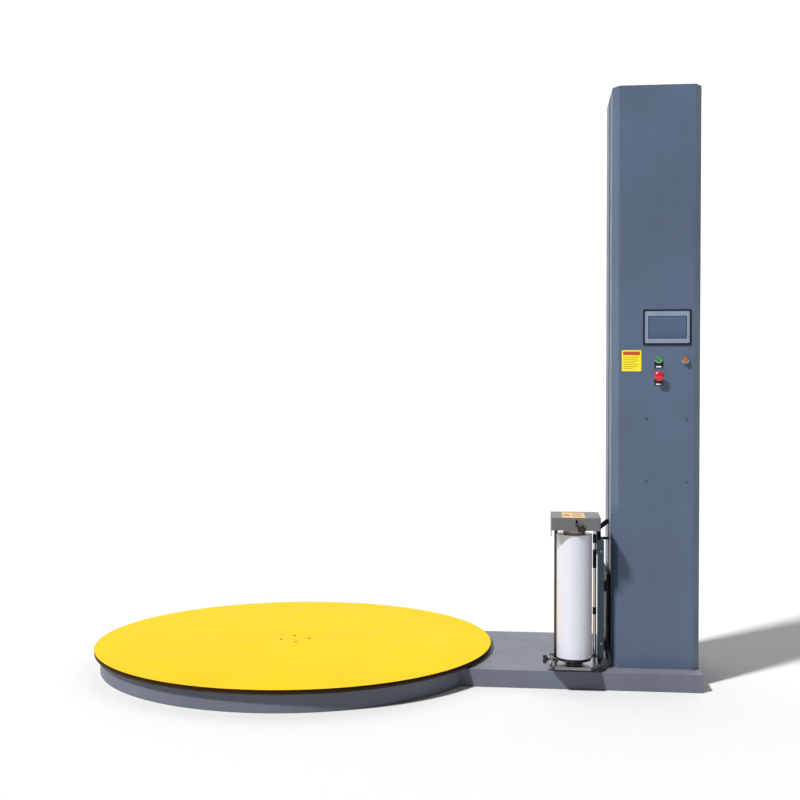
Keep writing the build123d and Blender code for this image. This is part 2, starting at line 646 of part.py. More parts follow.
# ---------------------------------------------------------------- controls
def control_modules():
    """Mounting plate behind the front panel, with the drive, controller, relays and terminals."""
    x0, x1 = HMI_X - MODULE_PLATE_WIDTH / 2, HMI_X + MODULE_PLATE_WIDTH / 2
    z0, z1 = MODULE_SCREW_HEIGHTS[0] - 20, MODULE_SCREW_HEIGHTS[1] + 20
    y0 = MAST_FRONT_Y + SHEET + 12
    plate = block(x0, x1, y0, y0 + 2, z0, z1)
    face = y0 + 2
    drive = block(x0 + 30, x0 + 92, face, face + 110, z1 - 155, z1 - 15)
    controller = block(x0 + 102, x1 - 30, face, face + 62, z1 - 115, z1 - 20)
    relays = []
    for k in range(RELAY_COUNT):
        left = x0 + 102 + (RELAY_WIDTH + 2) * k
        relays.append(block(left, left + RELAY_WIDTH, face, face + 58, z0 + 95, z0 + 150))
    terminals = block(x0 + 30, x1 - 30, face, face + 38, z0 + 25, z0 + 60)
    spacers = []
    for x in (HMI_X - MODULE_SCREW_SPAN / 2, HMI_X + MODULE_SCREW_SPAN / 2):
        for z in MODULE_SCREW_HEIGHTS:
            spacers.append(bar_y(x, MAST_FRONT_Y + SHEET, y0, z, 5))
    return grouped([plate, drive, controller, terminals] + relays + spacers)


def hmi_bezel():
    """Touch panel's housing: a frame outside the mast and a case through the cut-out."""
    w, h = HMI_WIDTH / 2, HMI_HEIGHT / 2
    front = MAST_FRONT_Y - HMI_PROUD
    frame = block(HMI_X - w, HMI_X + w, front, MAST_FRONT_Y, HMI_Z - h, HMI_Z + h)
    frame = fillet(frame.edges().filter_by(Axis.Y), 4)
    case = block(HMI_X - w + 8, HMI_X + w - 8, MAST_FRONT_Y, MAST_FRONT_Y + 36, HMI_Z - h + 8, HMI_Z + h - 8)
    return frame + case - screen_block(front - 1, front + 3)


def screen_block(y0, y1):
    """The screen's rectangle between two depths."""
    w, h = SCREEN_WIDTH / 2, SCREEN_HEIGHT / 2
    return block(HMI_X - w, HMI_X + w, y0, y1, HMI_Z - h, HMI_Z + h)


def hmi_screen():
    front = MAST_FRONT_Y - HMI_PROUD
    return screen_block(front + 1, front + 3)


def collar(x, z):
    """A chrome ring on the panel with its threaded sleeve through it."""
    front, back = MAST_FRONT_Y - COLLAR_PROUD, MAST_FRONT_Y + 20
    body = bar_y(x, front, MAST_FRONT_Y, z, COLLAR_R)
    return body - bar_y(x, front - 1, back, z, BUTTON_R + CLEAR)


def button_collars():
    return grouped([collar(START_X, START_Z), collar(STOP_X, STOP_Z), collar(LAMP_X, LAMP_Z)])


def start_button():
    front = MAST_FRONT_Y - COLLAR_PROUD - START_TRAVEL
    cap = bar_y(START_X, front, MAST_FRONT_Y + STEM_REACH, START_Z, BUTTON_R)
    return fillet(cap.edges().filter_by(GeomType.CIRCLE).group_by(Axis.Y)[0], 1)


def stop_button():
    """A mushroom head whose underside stands clear of the collar over its whole travel."""
    underside = MAST_FRONT_Y - COLLAR_PROUD - STOP_TRAVEL - STOP_GAP
    stem = bar_y(STOP_X, underside - 2, MAST_FRONT_Y + STEM_REACH, STOP_Z, BUTTON_R)
    head = bar_y(STOP_X, underside - STOP_HEAD_THICK, underside, STOP_Z, STOP_HEAD_R)
    head = fillet(head.edges().filter_by(GeomType.CIRCLE).group_by(Axis.Y)[0], STOP_HEAD_THICK * 0.54)
    return stem + head


def pilot_lamp():
    lens = bar_y(LAMP_X, MAST_FRONT_Y - LAMP_PROUD, MAST_FRONT_Y + STEM_REACH, LAMP_Z, BUTTON_R + CLEAR)
    return fillet(lens.edges().filter_by(GeomType.CIRCLE).group_by(Axis.Y)[0], 6)


# ---------------------------------------------------------------- film carriage
def carriage_slider():
    """The plate inside the mast, its lugs through the slot and its chain clamp."""
    half = RAIL_SPREAD + 18
    plate = block(SLIDER_X0, SLIDER_X1, SLOT_CENTRE_Y - half, SLOT_CENTRE_Y + half, TRAY_Z + 12, SLIDER_TOP)
    lug = LUG_WIDTH / 2
    for z0, z1 in LUG_HEIGHTS:
        plate += block(TROLLEY_X1, SLIDER_X0, SLOT_CENTRE_Y - lug, SLOT_CENTRE_Y + lug, z0, z1)
    clamp_z = TRAY_Z + 210
    return plate + block(SLIDER_X1, CLAMP_X1, SLOT_CENTRE_Y - 15, SLOT_CENTRE_Y + 15, clamp_z, clamp_z + 40)


def guide_shoes():
    """Four nylon blocks on the slider, each gripping a rail."""
    shoes = []
    half = RAIL_DEPTH / 2
    for y in RAIL_CENTRES:
        for z in (TRAY_Z + 24, SLIDER_TOP - 74):
            shoe = block(INNER_X0 + 2, SLIDER_X0, y - half - 9, y + half + 9, z, z + 50)
            side = half + SHOE_GAP
            groove = block(INNER_X0 - 1, INNER_X0 + RAIL_DEPTH + SHOE_GAP, y - side, y + side, z - 1, z + 51)
            shoes.append(shoe - groove)
    return grouped(shoes)


def trolley_bracket():
    """Side plate outside the slot, its ties to the column, and the forked upper arm."""
    plate = block(TROLLEY_X0, TROLLEY_X1, TROLLEY_Y0, TROLLEY_Y1, TRAY_Z + 5, TROLLEY_TOP)
    for z0, z1 in LUG_HEIGHTS:
        plate += block(COLUMN_X1, TROLLEY_X0, TROLLEY_Y0, COLUMN_Y1 - 4, z0, z1)
    x0, low, high = COLUMN_X0, COLUMN_TOP - 18, COLUMN_TOP + 29
    outline = [
        (x0, low), (x0, high), (x0 + 40, high + 34), (SLIDER_X0, high + 34),
        (SLIDER_X0, high + 16), (x0 + 46, high + 16), (x0 + 15, high - 10),
        (x0 + 15, low + 10), (SLIDER_X0, low + 10), (SLIDER_X0, low),
    ]
    arm_y = SLOT_CENTRE_Y - ARM_THICK / 2
    face = Plane.XZ.offset(-arm_y) * make_face(Polyline(*outline, close=True))
    arm = extrude(face, -ARM_THICK)
    link = block(x0, x0 + 14, COLUMN_Y1 - 10, arm_y, COLUMN_TOP, high)
    return grouped([plate, arm + link])


def carriage_column():
    """Rectangular tube between the tray and the head, with the strap that holds the head."""
    x0, x1, y0, y1 = COLUMN_X0, COLUMN_X1, COLUMN_Y0, COLUMN_Y1
    tube = block(x0, x1, y0, y1, TRAY_TOP, COLUMN_TOP)
    tube -= block(x0 + SHEET, x1 - SHEET, y0 + SHEET, y1 - SHEET, TRAY_TOP - 1, COLUMN_TOP - SHEET)
    strap = block(x0 - 3, x0, y0 + 40, y1 - HEAD_SHEET - 2, COLUMN_TOP - 60, HEAD_Z1 - HEAD_SHEET)
    pad = block(x0, HEAD_X1 - HEAD_SHEET, y0 + 44, y1 - 8, HEAD_Z0 + 4, HEAD_Z1 - 8)
    return tube + strap + pad


def tray_outline(inset):
    """The tray in plan: straight back and sides, with the front corners cut."""
    x0, x1 = HEAD_X0 - 4 + inset, HEAD_X1 + 10 - inset
    y0, y1 = HEAD_Y0 - 11 + inset, HEAD_Y1 - inset
    k = inset * 0.6
    return [
        (x0, y1), (x0, y0 + 43 - k), (x0 + 22 - k, y0), (x1 - 47 + k, y0), (x1, y0 + 84 - k), (x1, y1),
    ]


def carriage_tray():
    """Folded tray with an upturned lip, the roll's bearing boss and the brake screw's lug."""
    lip_top = TRAY_TOP + TRAY_LIP
    tray = slab(tray_outline(0), TRAY_Z, lip_top) - slab(tray_outline(2.5), TRAY_TOP, lip_top + 1)
    tray -= block(COLUMN_X0 - 1, COLUMN_X1, COLUMN_Y0 - 1, COLUMN_Y1 + 1, TRAY_TOP, lip_top + 1)
    tray += post(ROLL_X, ROLL_Y, TRAY_TOP, TRAY_TOP + 13, 28)
    tray -= post(ROLL_X, ROLL_Y, TRAY_Z + 1, TRAY_TOP + 20, MANDREL_TUBE_R + RUN_FIT)
    tray -= post(TENSION_X, TENSION_Y, TRAY_Z - 1, TRAY_TOP + 1, JOURNAL_R + RUN_FIT)
    lug_x = HEAD_X0 + 2
    tray += block(lug_x, lug_x + 5, BRAKE_Y - 16, BRAKE_Y + 16, TRAY_TOP, BRAKE_Z + 14)
    return tray - bar_x(lug_x - 1, lug_x + 6, BRAKE_Y, BRAKE_Z, STUD_R + RUN_FIT)


def yoke_bars():
    """Two long bars and two ties, welded inside the head round the upper spigot's tube."""
    gap, z0, z1 = MANDREL_TUBE_R + RUN_FIT, HEAD_Z0 + 12, HEAD_Z0 + 17
    wide = gap + YOKE_BAR
    front, back = HEAD_Y0 + HEAD_SHEET, HEAD_Y1 - HEAD_SHEET
    bars = [block(ROLL_X + a, ROLL_X + b, front, back, z0, z1) for a, b in ((-wide, -gap), (gap, wide))]
    for a, b in ((-wide, -gap), (gap, wide)):
        bars.append(block(ROLL_X - gap, ROLL_X + gap, ROLL_Y + a, ROLL_Y + b, z0, z1))
    return bars


def head_housing():
    """Folded cover, open below, with the yoke that guides the upper spigot's tube."""
    t = HEAD_SHEET
    shell = block(HEAD_X0, HEAD_X1, HEAD_Y0, HEAD_Y1, HEAD_Z0, HEAD_Z1)
    shell = fillet(shell.edges().filter_by(Axis.Z), 6)
    shell -= block(HEAD_X0 + t, HEAD_X1 - t, HEAD_Y0 + t, HEAD_Y1 - t, HEAD_Z0 - 1, HEAD_Z1 - t)
    flap = block(HEAD_X0, HEAD_X0 + t, HEAD_Y0 + 20, HEAD_Y1 - 6, HEAD_Z0 - 26, HEAD_Z0)
    head = shell + flap
    slot_w, slot_z = LIFT_PIN_R + 1, HEAD_Z0 + 17
    slot_top = slot_z + MANDREL_TRAVEL + 2 * LIFT_PIN_R + 3
    head -= block(PIN_X - slot_w, PIN_X + slot_w, HEAD_Y0 - 1, HEAD_Y0 + t + 1, slot_z, slot_top)
    head -= bar_y(LOCK_X, HEAD_Y0 - 1, HEAD_Y0 + t + 1, LOCK_Z, STUD_R + RUN_FIT)
    head -= post(TENSION_X, TENSION_Y, HEAD_Z1 - t - 1, HEAD_Z1 + 1, JOURNAL_R + RUN_FIT)
    return grouped([head, *yoke_bars()])


def stay_post():
    """Polished rod between the tray and the head."""
    return post(POST_X, POST_Y, TRAY_TOP, HEAD_Z1 - HEAD_SHEET, POST_R)


def film_core():
    outer = CORE_ID / 2 + CORE_WALL
    return ring(ROLL_X, ROLL_Y, CORE_Z0, CORE_Z1, outer, CORE_ID / 2)


def film_web():
    outer = CORE_ID / 2 + CORE_WALL
    return ring(ROLL_X, ROLL_Y, WEB_Z0, WEB_Z0 + FILM_WEB, FILM_D / 2, outer)


def lower_spigot():
    """Turning flange under the roll, with its plug in the core and its journal in the tray."""
    flange = post(ROLL_X, ROLL_Y, FLANGE_TOP - FLANGE_THICK, FLANGE_TOP, FLANGE_R)
    plug = post(ROLL_X, ROLL_Y, FLANGE_TOP, FLANGE_TOP + 40, CORE_ID / 2)
    plug = chamfer(plug.edges().group_by(Axis.Z)[-1], 6)
    journal = post(ROLL_X, ROLL_Y, TRAY_Z + 2, FLANGE_TOP, MANDREL_TUBE_R)
    return flange + plug + journal


def spigot_slide():
    """Tube that carries the upper spigot, with the pin that lifts it."""
    low = CORE_Z1 + SPIGOT_FLANGE + 1.5
    tube = post(ROLL_X, ROLL_Y, low, HEAD_Z0 + 28, MANDREL_TUBE_R)
    tube -= post(ROLL_X, ROLL_Y, low - 1, CORE_Z1 + 20, SPIGOT_JOURNAL_R + RUN_FIT)
    pin_z = HEAD_Z0 + 21
    pin = bar_y(PIN_X, HEAD_Y0 - 14, ROLL_Y, pin_z, LIFT_PIN_R)
    return tube + pin


def upper_spigot():
    """Tapered plug that centres the core's top end and turns with it."""
    fit = CORE_ID / 2 - CLEAR
    plug = Pos(ROLL_X, ROLL_Y, CORE_Z1 - 6) * Cone(fit - 5, fit, 12)
    plug += post(ROLL_X, ROLL_Y, CORE_Z1, CORE_Z1 + 2 * CLEAR, fit)
    top = CORE_Z1 + SPIGOT_FLANGE
    flange = post(ROLL_X, ROLL_Y, CORE_Z1 + CLEAR, top, CORE_ID / 2 + CORE_WALL + 4)
    return plug + flange + post(ROLL_X, ROLL_Y, top, CORE_Z1 + 18, SPIGOT_JOURNAL_R)


def tension_roller():
    """Chrome roller with a journal at each end."""
    tube = post(TENSION_X, TENSION_Y, TRAY_TOP + 7, HEAD_Z0 - 4, TENSION_R - 1)
    return tube + post(TENSION_X, TENSION_Y, TRAY_Z, HEAD_Z1, JOURNAL_R)


def tension_rings():
    """Rubber sleeves on the tension roller."""
    spans = ((175, 203), (357, 430), (455, 490))
    z = TRAY_TOP
    return grouped([ring(TENSION_X, TENSION_Y, z + a, z + b, TENSION_R, TENSION_R - 1) for a, b in spans])


def lock_knob():
    """Star knob on the head's front that clamps the lifting tube."""
    knob = star_knob() + Pos(0, 0, -14) * Cylinder(STUD_R, 24)
    return Pos(LOCK_X, HEAD_Y0 - 7, LOCK_Z) * Rot(90, 0, 0) * knob


def brake_knob():
    """Star knob at the tray's left, whose screw sets the roll's braking."""
    lug_x = HEAD_X0 + 2
    knob = star_knob() + Pos(0, 0, -21) * Cylinder(STUD_R, 38) + Pos(0, 0, -40) * Cylinder(6, 4)
    return Pos(lug_x - 17, BRAKE_Y, BRAKE_Z) * Rot(0, -90, 0) * knob


# ---------------------------------------------------------------- write every node
NODES = {
    "floor_plate": floor_plate, "base_skirt": base_skirt, "frame_ribs": frame_ribs,
    "roller_brackets": roller_brackets, "centre_spindle": centre_spindle,
    "beam_front_channel": beam_front_channel, "beam_rear_channel": beam_rear_channel,
    "beam_cover": beam_cover, "beam_cover_screws": beam_cover_screws, "mast_base_plate": mast_base_plate,
    "table_gearmotor": table_gearmotor, "table_drive_chain": table_drive_chain,
    "mast_front_panel": mast_front_panel, "mast_left_cheeks": mast_left_cheeks,
    "mast_right_panel": mast_right_panel, "mast_rear_panels": mast_rear_panels,
    "mast_top_cap": mast_top_cap, "guide_rails": guide_rails, "door_hinge_pins": door_hinge_pins,
    "lift_gearmotor": lift_gearmotor, "lift_chain": lift_chain, "control_modules": control_modules,
    "hmi_bezel": hmi_bezel, "hmi_screen": hmi_screen, "button_collars": button_collars,
    "pilot_lamp": pilot_lamp, "turntable_plate": turntable_plate, "turntable_rim": turntable_rim,
    "turntable_hub": turntable_hub, "turntable_sprocket": turntable_sprocket,
    "table_bolts": table_bolts, "table_drive_sprocket": table_drive_sprocket,
    "rear_door": rear_door, "door_latch": door_latch, "lift_drive_sprocket": lift_drive_sprocket,
    "lift_idler_sprocket": lift_idler_sprocket, "start_button": start_button,
    "stop_button": stop_button, "carriage_slider": carriage_slider, "guide_shoes": guide_shoes,
    "trolley_bracket": trolley_bracket, "carriage_column": carriage_column,
    "carriage_tray": carriage_tray, "head_housing": head_housing, "stay_post": stay_post,
    "film_core": film_core, "film_web": film_web, "lower_spigot": lower_spigot,
    "spigot_slide": spigot_slide, "upper_spigot": upper_spigot, "tension_roller": tension_roller,
    "tension_rings": tension_rings, "lock_knob": lock_knob, "brake_knob": brake_knob,
}

for name, make in NODES.items():
    export_step(make(), f"parts/{name}.step")
for number, angle in enumerate(roller_turns(), start=1):
    export_step(support_roller(angle), f"parts/support_roller_{number}.step")
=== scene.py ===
"""Turntable pallet wrapper: finishes, fittings, camera and light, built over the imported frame.

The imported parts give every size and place. The classes below dress those parts, and add or refine
the small pieces on them: screws, gaskets, rollers, chain links, motors, knobs, labels and the roll.
"""

from __future__ import annotations

import logging
import math
from dataclasses import dataclass, field
from enum import Enum
from typing import Any, Callable, Iterable, Mapping, Sequence, Union

import bmesh
import bpy
from mathutils import Euler, Matrix, Vector

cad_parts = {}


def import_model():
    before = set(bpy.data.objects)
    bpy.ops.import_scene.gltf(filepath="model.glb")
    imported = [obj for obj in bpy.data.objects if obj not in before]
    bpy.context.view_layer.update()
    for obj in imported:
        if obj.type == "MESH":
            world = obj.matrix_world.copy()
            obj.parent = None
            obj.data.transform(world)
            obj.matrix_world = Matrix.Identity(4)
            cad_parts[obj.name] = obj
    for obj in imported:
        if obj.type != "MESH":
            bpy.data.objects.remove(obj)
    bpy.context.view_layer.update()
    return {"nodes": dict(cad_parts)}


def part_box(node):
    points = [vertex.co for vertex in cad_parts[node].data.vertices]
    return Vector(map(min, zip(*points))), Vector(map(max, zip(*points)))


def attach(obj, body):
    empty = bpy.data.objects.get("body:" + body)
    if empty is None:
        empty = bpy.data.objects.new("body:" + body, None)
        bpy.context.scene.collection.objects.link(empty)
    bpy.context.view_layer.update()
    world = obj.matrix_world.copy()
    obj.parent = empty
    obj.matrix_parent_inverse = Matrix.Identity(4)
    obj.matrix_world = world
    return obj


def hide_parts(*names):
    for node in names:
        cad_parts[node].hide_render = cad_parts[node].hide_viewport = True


LOG = logging.getLogger("pallet_wrapper")
MM = 0.001
FULL_TURN = 2 * math.pi
UP, RIGHT, LEFT = Vector((0, 0, 1)), Vector((1, 0, 0)), Vector((-1, 0, 0))
FRONT, BACK = Vector((0, -1, 0)), Vector((0, 1, 0))
RIM_FADE = 0.3 * MM

Socket = bpy.types.NodeSocket
Sockets = Mapping[str, Socket]
Feed = Union[Socket, float, Sequence[float]]
Profile = Sequence[tuple[float, float]]


class Shade(Enum):
    """Base colours of the machine's surfaces, as sRGB from 0 to 255."""

    MAST_GREY = (84, 98, 120)
    BEAM_GREY = (100, 105, 117)
    FRAME_GREY = (78, 84, 92)
    HEAD_GREY = (104, 104, 107)
    # The column's blue-green, darkened further as painted shade of the roll's shadow on it.
    COLUMN_GREY_AND_SHADE = (74, 92, 104)
    TABLE_YELLOW = (240, 190, 2)
    RIM_BROWN = (48, 30, 8)
    # Near-black paint; on the trolley bracket it also carries painted shade of the roll's shadow.
    SATIN_BLACK_AND_SHADE = (14, 17, 26)
    MOTOR_BLUE = (46, 78, 104)
    PRIMER = (150, 148, 142)
    BARE_STEEL = (176, 174, 170)
    # Darker than bare stainless: painted shade of the tray's shadowed inside.
    STAINLESS_AND_SHADE = (140, 142, 145)
    ZINC = (168, 169, 160)
    OILED_STEEL = (84, 80, 75)
    CHROME = (224, 225, 228)
    RUBBER_BLACK = (22, 22, 23)
    NYLON_WHITE = (220, 216, 204)
    MOULDED_BLACK = (12, 12, 14)
    TYRE_GREY = (70, 70, 72)
    BEZEL_GREY = (128, 143, 163)
    GASKET_BLUE = (17, 27, 42)
    MODULE_GREY = (92, 94, 98)
    MODULE_LIGHT = (176, 178, 174)
    TERMINAL_GREEN = (70, 120, 84)
    SCREEN_SLATE = (78, 93, 120)
    GREEN = (26, 140, 72)
    RED = (196, 20, 34)
    AMBER = (168, 92, 30)
    FILM_WHITE = (206, 207, 216)
    # The film's blue tints its ends and, with the rose, paints the sheen of bands up the roll.
    FILM_BLUE_TINT_AND_SHEEN = (168, 190, 214)
    FILM_ROSE_SHEEN = (214, 192, 202)
    # Pale cream board, lightened further as painted light where the head shades the core.
    CARDBOARD_AND_LIGHT = (248, 226, 204)
    LABEL_YELLOW = (244, 224, 32)
    LABEL_ORANGE = (186, 76, 24)
    LABEL_AMBER = (222, 178, 96)
    LABEL_INK = (60, 52, 26)
    LEGEND_WHITE = (232, 232, 232)
    DUST = (168, 166, 160)
    FLOOR = (222, 222, 222)

    @property
    def linear(self) -> tuple[float, float, float, float]:
        """The colour for a shader.

        Returns:
            Its linear RGBA.
        """
        steps = [value / 255 for value in self.value]
        red, green, blue = (s / 12.92 if s <= 0.04045 else ((s + 0.055) / 1.055) ** 2.4 for s in steps)
        return red, green, blue, 1.0


# ------------------------------------------------------------------------------ node wiring
class Graph:
    """A shader node tree, with short calls that add and wire its nodes."""

    def __init__(self, tree: bpy.types.NodeTree) -> None:
        """Wraps the node tree that is wired."""
        self.tree = tree

    def add(self, kind: str, inputs: Mapping[Union[str, int], Feed], **settings: Any) -> bpy.types.Node:
        """Adds a shader node.

        Args:
            kind: The node's class name after ShaderNode.
            inputs: What each input takes: another node's socket, or a value.
            settings: The node's own properties.

        Returns:
            The new node.
        """
        node = self.tree.nodes.new(f"ShaderNode{kind}")
        for name, value in settings.items():
            setattr(node, name, value)
        self.wire(node, inputs)
        return node

    def wire(self, node: bpy.types.Node, inputs: Mapping[Union[str, int], Feed]) -> None:
        """Links a socket to each named input, or sets its value.

        Args:
            node: The node whose inputs are fed.
            inputs: What each input takes.
        """
        for name, value in inputs.items():
            if isinstance(value, bpy.types.NodeSocket):
                self.tree.links.new(value, node.inputs[name])
            else:
                node.inputs[name].default_value = value

    def math(self, operation: str, first: Feed, second: Feed = 0.0) -> Socket:
        """The result of a Math node."""
        return self.add("Math", {0: first, 1: second}, operation=operation).outputs[0]

    def ramp(self, value: Feed, low: float, high: float, start: float = 0.0, end: float = 1.0) -> Socket:
        """A value mapped from low..high to start..end, held at both ends.

        Args:
            value: What is mapped.
            low: The value that gives start.
            high: The value that gives end.
            start: The result at low.
            end: The result at high.

        Returns:
            The mapped value.
        """
        inputs = {"Value": value, "From Min": low, "From Max": high, "To Min": start, "To Max": end}
        return self.add("MapRange", inputs, clamp=True).outputs["Result"]

    def blend(self, factor: Feed, first: Feed, second: Feed) -> Socket:
        """A colour between two others.

        Args:
            factor: 0 for the first colour, 1 for the second.
            first: The first colour.
            second: The second colour.

        Returns:
            The blended colour.
        """
        node = self.add("Mix", {}, data_type="RGBA")
        self.wire(node, {0: factor, 6: first, 7: second})
        return node.outputs[2]

    def noise(self, scale: Feed, detail: float = 2.0, stretch: Feed = (1.0, 1.0, 1.0)) -> Socket:
        """Noise on the piece's own coordinates.

        Args:
            scale: Features per metre.
            detail: Octaves.
            stretch: How much finer the pattern is along X, Y and Z.

        Returns:
            The noise, from 0 to 1 about 0.5.
        """
        place = self.add("Mapping", {"Vector": self.place(), "Scale": stretch}).outputs[0]
        return self.add("TexNoise", {"Vector": place, "Scale": scale, "Detail": detail}).outputs["Fac"]

    def scaled(self, colour: Feed, factor: Feed) -> Socket:
        """A colour or vector times a factor."""
        return self.add("VectorMath", {0: colour, "Scale": factor}, operation="SCALE").outputs[0]

    def bump(self, height: Feed, **normal: Feed) -> Socket:
        """The normal over a height in metres, on the flat faces or on the Normal that is given."""
        return self.add("Bump", {"Strength": 1.0, "Distance": 1.0, "Height": height, **normal}).outputs[0]

    def upward(self) -> Socket:
        """How far the face looks up: 1 for up, -1 for down."""
        normal = self.add("NewGeometry", {}).outputs["Normal"]
        return self.add("SeparateXYZ", {0: normal}).outputs["Z"]

    def place(self) -> Socket:
        """The piece's own coordinates."""
        return self.add("TexCoord", {}).outputs["Object"]

    def effect(self, effect: "Effect", **inputs: Feed) -> bpy.types.Node:
        """Places an effect's node group.

        Args:
            effect: The effect.
            inputs: The group's inputs, with underscores for spaces.

        Returns:
            The group node.
        """
        node = self.add("Group", {}, node_tree=effect.tree())
        self.wire(node, {name.replace("_", " "): value for name, value in inputs.items()})
        return node


@dataclass(frozen=True)
class Effect:
    """A surface effect that several finishes share, as one node group.

    Attributes:
        name: The group's name.
        inputs: Name and kind of each input.
        outputs: Name and kind of each output.
        build: Wires the group, from its inputs to the values of its outputs.
    """

    name: str
    inputs: tuple[tuple[str, str], ...]
    outputs: tuple[tuple[str, str], ...]
    build: Callable[[Graph, Sockets], Sockets]

    def tree(self) -> bpy.types.NodeTree:
        """Makes the node group the first time that it is asked for.

        Returns:
            The group's tree.
        """
        found = bpy.data.node_groups.get(self.name)
        if found is not None:
            return found
        tree = bpy.data.node_groups.new(self.name, "ShaderNodeTree")
        for way, sockets in (("INPUT", self.inputs), ("OUTPUT", self.outputs)):
            for name, kind in sockets:
                tree.interface.new_socket(name=name, in_out=way, socket_type=f"NodeSocket{kind}")
        fed, gives = tree.nodes.new("NodeGroupInput"), tree.nodes.new("NodeGroupOutput")
        graph = Graph(tree)
        graph.wire(gives, self.build(graph, fed.outputs))
        return tree


def wire_edge_wear(graph: Graph, fed: Sockets) -> Sockets:
    """Rounded edges, and the broken line along them where the coat is rubbed.

    Args:
        graph: The group's tree.
        fed: The group's inputs.

    Returns:
        The mask of rubbed paint, and the rounded normal.
    """
    rounded = graph.add("Bevel", {"Radius": fed["Width"]}, samples=4).outputs[0]
    flat = graph.add("NewGeometry", {}).outputs["Normal"]
    turn = graph.add("VectorMath", {0: rounded, 1: flat}, operation="DOT_PRODUCT").outputs["Value"]
    edge = graph.ramp(turn, 0.985, 0.82)
    broken = graph.ramp(graph.noise(fed["Scale"], 4.0), 0.47, 0.62)
    rubbed = graph.math("MULTIPLY", edge, broken)
    return {"Mask": graph.math("MULTIPLY", rubbed, fed["Amount"]), "Normal": rounded}


def wire_coat_grain(graph: Graph, fed: Sockets) -> Sockets:
    """The fine texture of a sprayed or moulded surface, with a slow wave under it.

    Args:
        graph: The group's tree.
        fed: The group's inputs.

    Returns:
        The height in metres, and a value from 0 to 1 that varies the gloss.
    """
    fine = graph.math("MULTIPLY", graph.noise(fed["Scale"], 3.0), fed["Depth"])
    slow = graph.math("MULTIPLY", graph.noise(fed["Wave scale"], 1.0), fed["Wave depth"])
    return {"Height": graph.math("ADD", fine, slow), "Gloss": graph.noise(9.0, 3.0)}


def wire_colour_drift(graph: Graph, fed: Sockets) -> Sockets:
    """A colour that is a little lighter and darker from place to place, and in long upright runs.

    Args:
        graph: The group's tree.
        fed: The group's inputs.

    Returns:
        The varied colour.
    """
    broad = graph.ramp(graph.noise(fed["Scale"], 4.0), 0.3, 0.7, -1.0, 1.0)
    runs = graph.ramp(graph.noise(22.0, 4.0, (1.0, 1.0, 0.05)), 0.3, 0.7, -1.0, 1.0)
    swing = graph.math("ADD", graph.math("MULTIPLY", broad, fed["Variation"]), 1.0)
    swing = graph.math("ADD", graph.math("MULTIPLY", runs, fed["Runs"]), swing)
    return {"Colour": graph.scaled(fed["Colour"], swing)}


def wire_settled_dust(graph: Graph, fed: Sockets) -> Sockets:
    """Dust on what faces up.

    Args:
        graph: The group's tree.
        fed: The group's inputs.

    Returns:
        The mask of the dust.
    """
    upward = graph.ramp(graph.upward(), 0.4, 0.95)
    patchy = graph.ramp(graph.noise(fed["Scale"], 5.0), 0.35, 0.75, 0.25, 1.0)
    return {"Mask": graph.math("MULTIPLY", graph.math("MULTIPLY", upward, patchy), fed["Amount"])}


def wire_scuffs(graph: Graph, fed: Sockets) -> Sockets:
    """Thin scratches that run two ways, and soft rubbed spots.

    Args:
        graph: The group's tree.
        fed: The group's inputs.

    Returns:
        The mask of the scuffs.
    """
    along = graph.ramp(graph.noise(fed["Scale"], 1.0, (1.0, 14.0, 3.0)), 0.68, 0.76)
    across = graph.ramp(graph.noise(fed["Scale"], 1.0, (14.0, 1.2, 3.0)), 0.70, 0.78)
    where = graph.ramp(graph.noise(3.0, 2.0), 0.45, 0.7)
    both = graph.math("MULTIPLY", graph.math("MAXIMUM", along, across), where)
    return {"Mask": graph.math("MULTIPLY", both, fed["Amount"])}


def wire_brushing(graph: Graph, fed: Sockets) -> Sockets:
    """The drawn lines of rolled or turned steel.

    Args:
        graph: The group's tree.
        fed: The group's inputs.

    Returns:
        The height in metres, and the lines from 0 to 1.
    """
    lines = graph.noise(fed["Scale"], 3.0, fed["Stretch"])
    return {"Height": graph.math("MULTIPLY", lines, fed["Depth"]), "Lines": lines}


EDGE_WEAR = Effect(
    "edge wear",
    (("Width", "Float"), ("Scale", "Float"), ("Amount", "Float")),
    (("Mask", "Float"), ("Normal", "Vector")),
    wire_edge_wear,
)
COAT_GRAIN = Effect(
    "coat grain",
    (("Scale", "Float"), ("Depth", "Float"), ("Wave scale", "Float"), ("Wave depth", "Float")),
    (("Height", "Float"), ("Gloss", "Float")),
    wire_coat_grain,
)
COLOUR_DRIFT = Effect(
    "colour drift",
    (("Colour", "Color"), ("Variation", "Float"), ("Scale", "Float"), ("Runs", "Float")),
    (("Colour", "Color"),),
    wire_colour_drift,
)
SETTLED_DUST = Effect(
    "settled dust", (("Amount", "Float"), ("Scale", "Float")), (("Mask", "Float"),), wire_settled_dust
)
SCUFFS = Effect("scuffs", (("Amount", "Float"), ("Scale", "Float")), (("Mask", "Float"),), wire_scuffs)
BRUSHING = Effect(
    "brushing",
    (("Scale", "Float"), ("Stretch", "Vector"), ("Depth", "Float")),
    (("Height", "Float"), ("Lines", "Float")),
    wire_brushing,
)


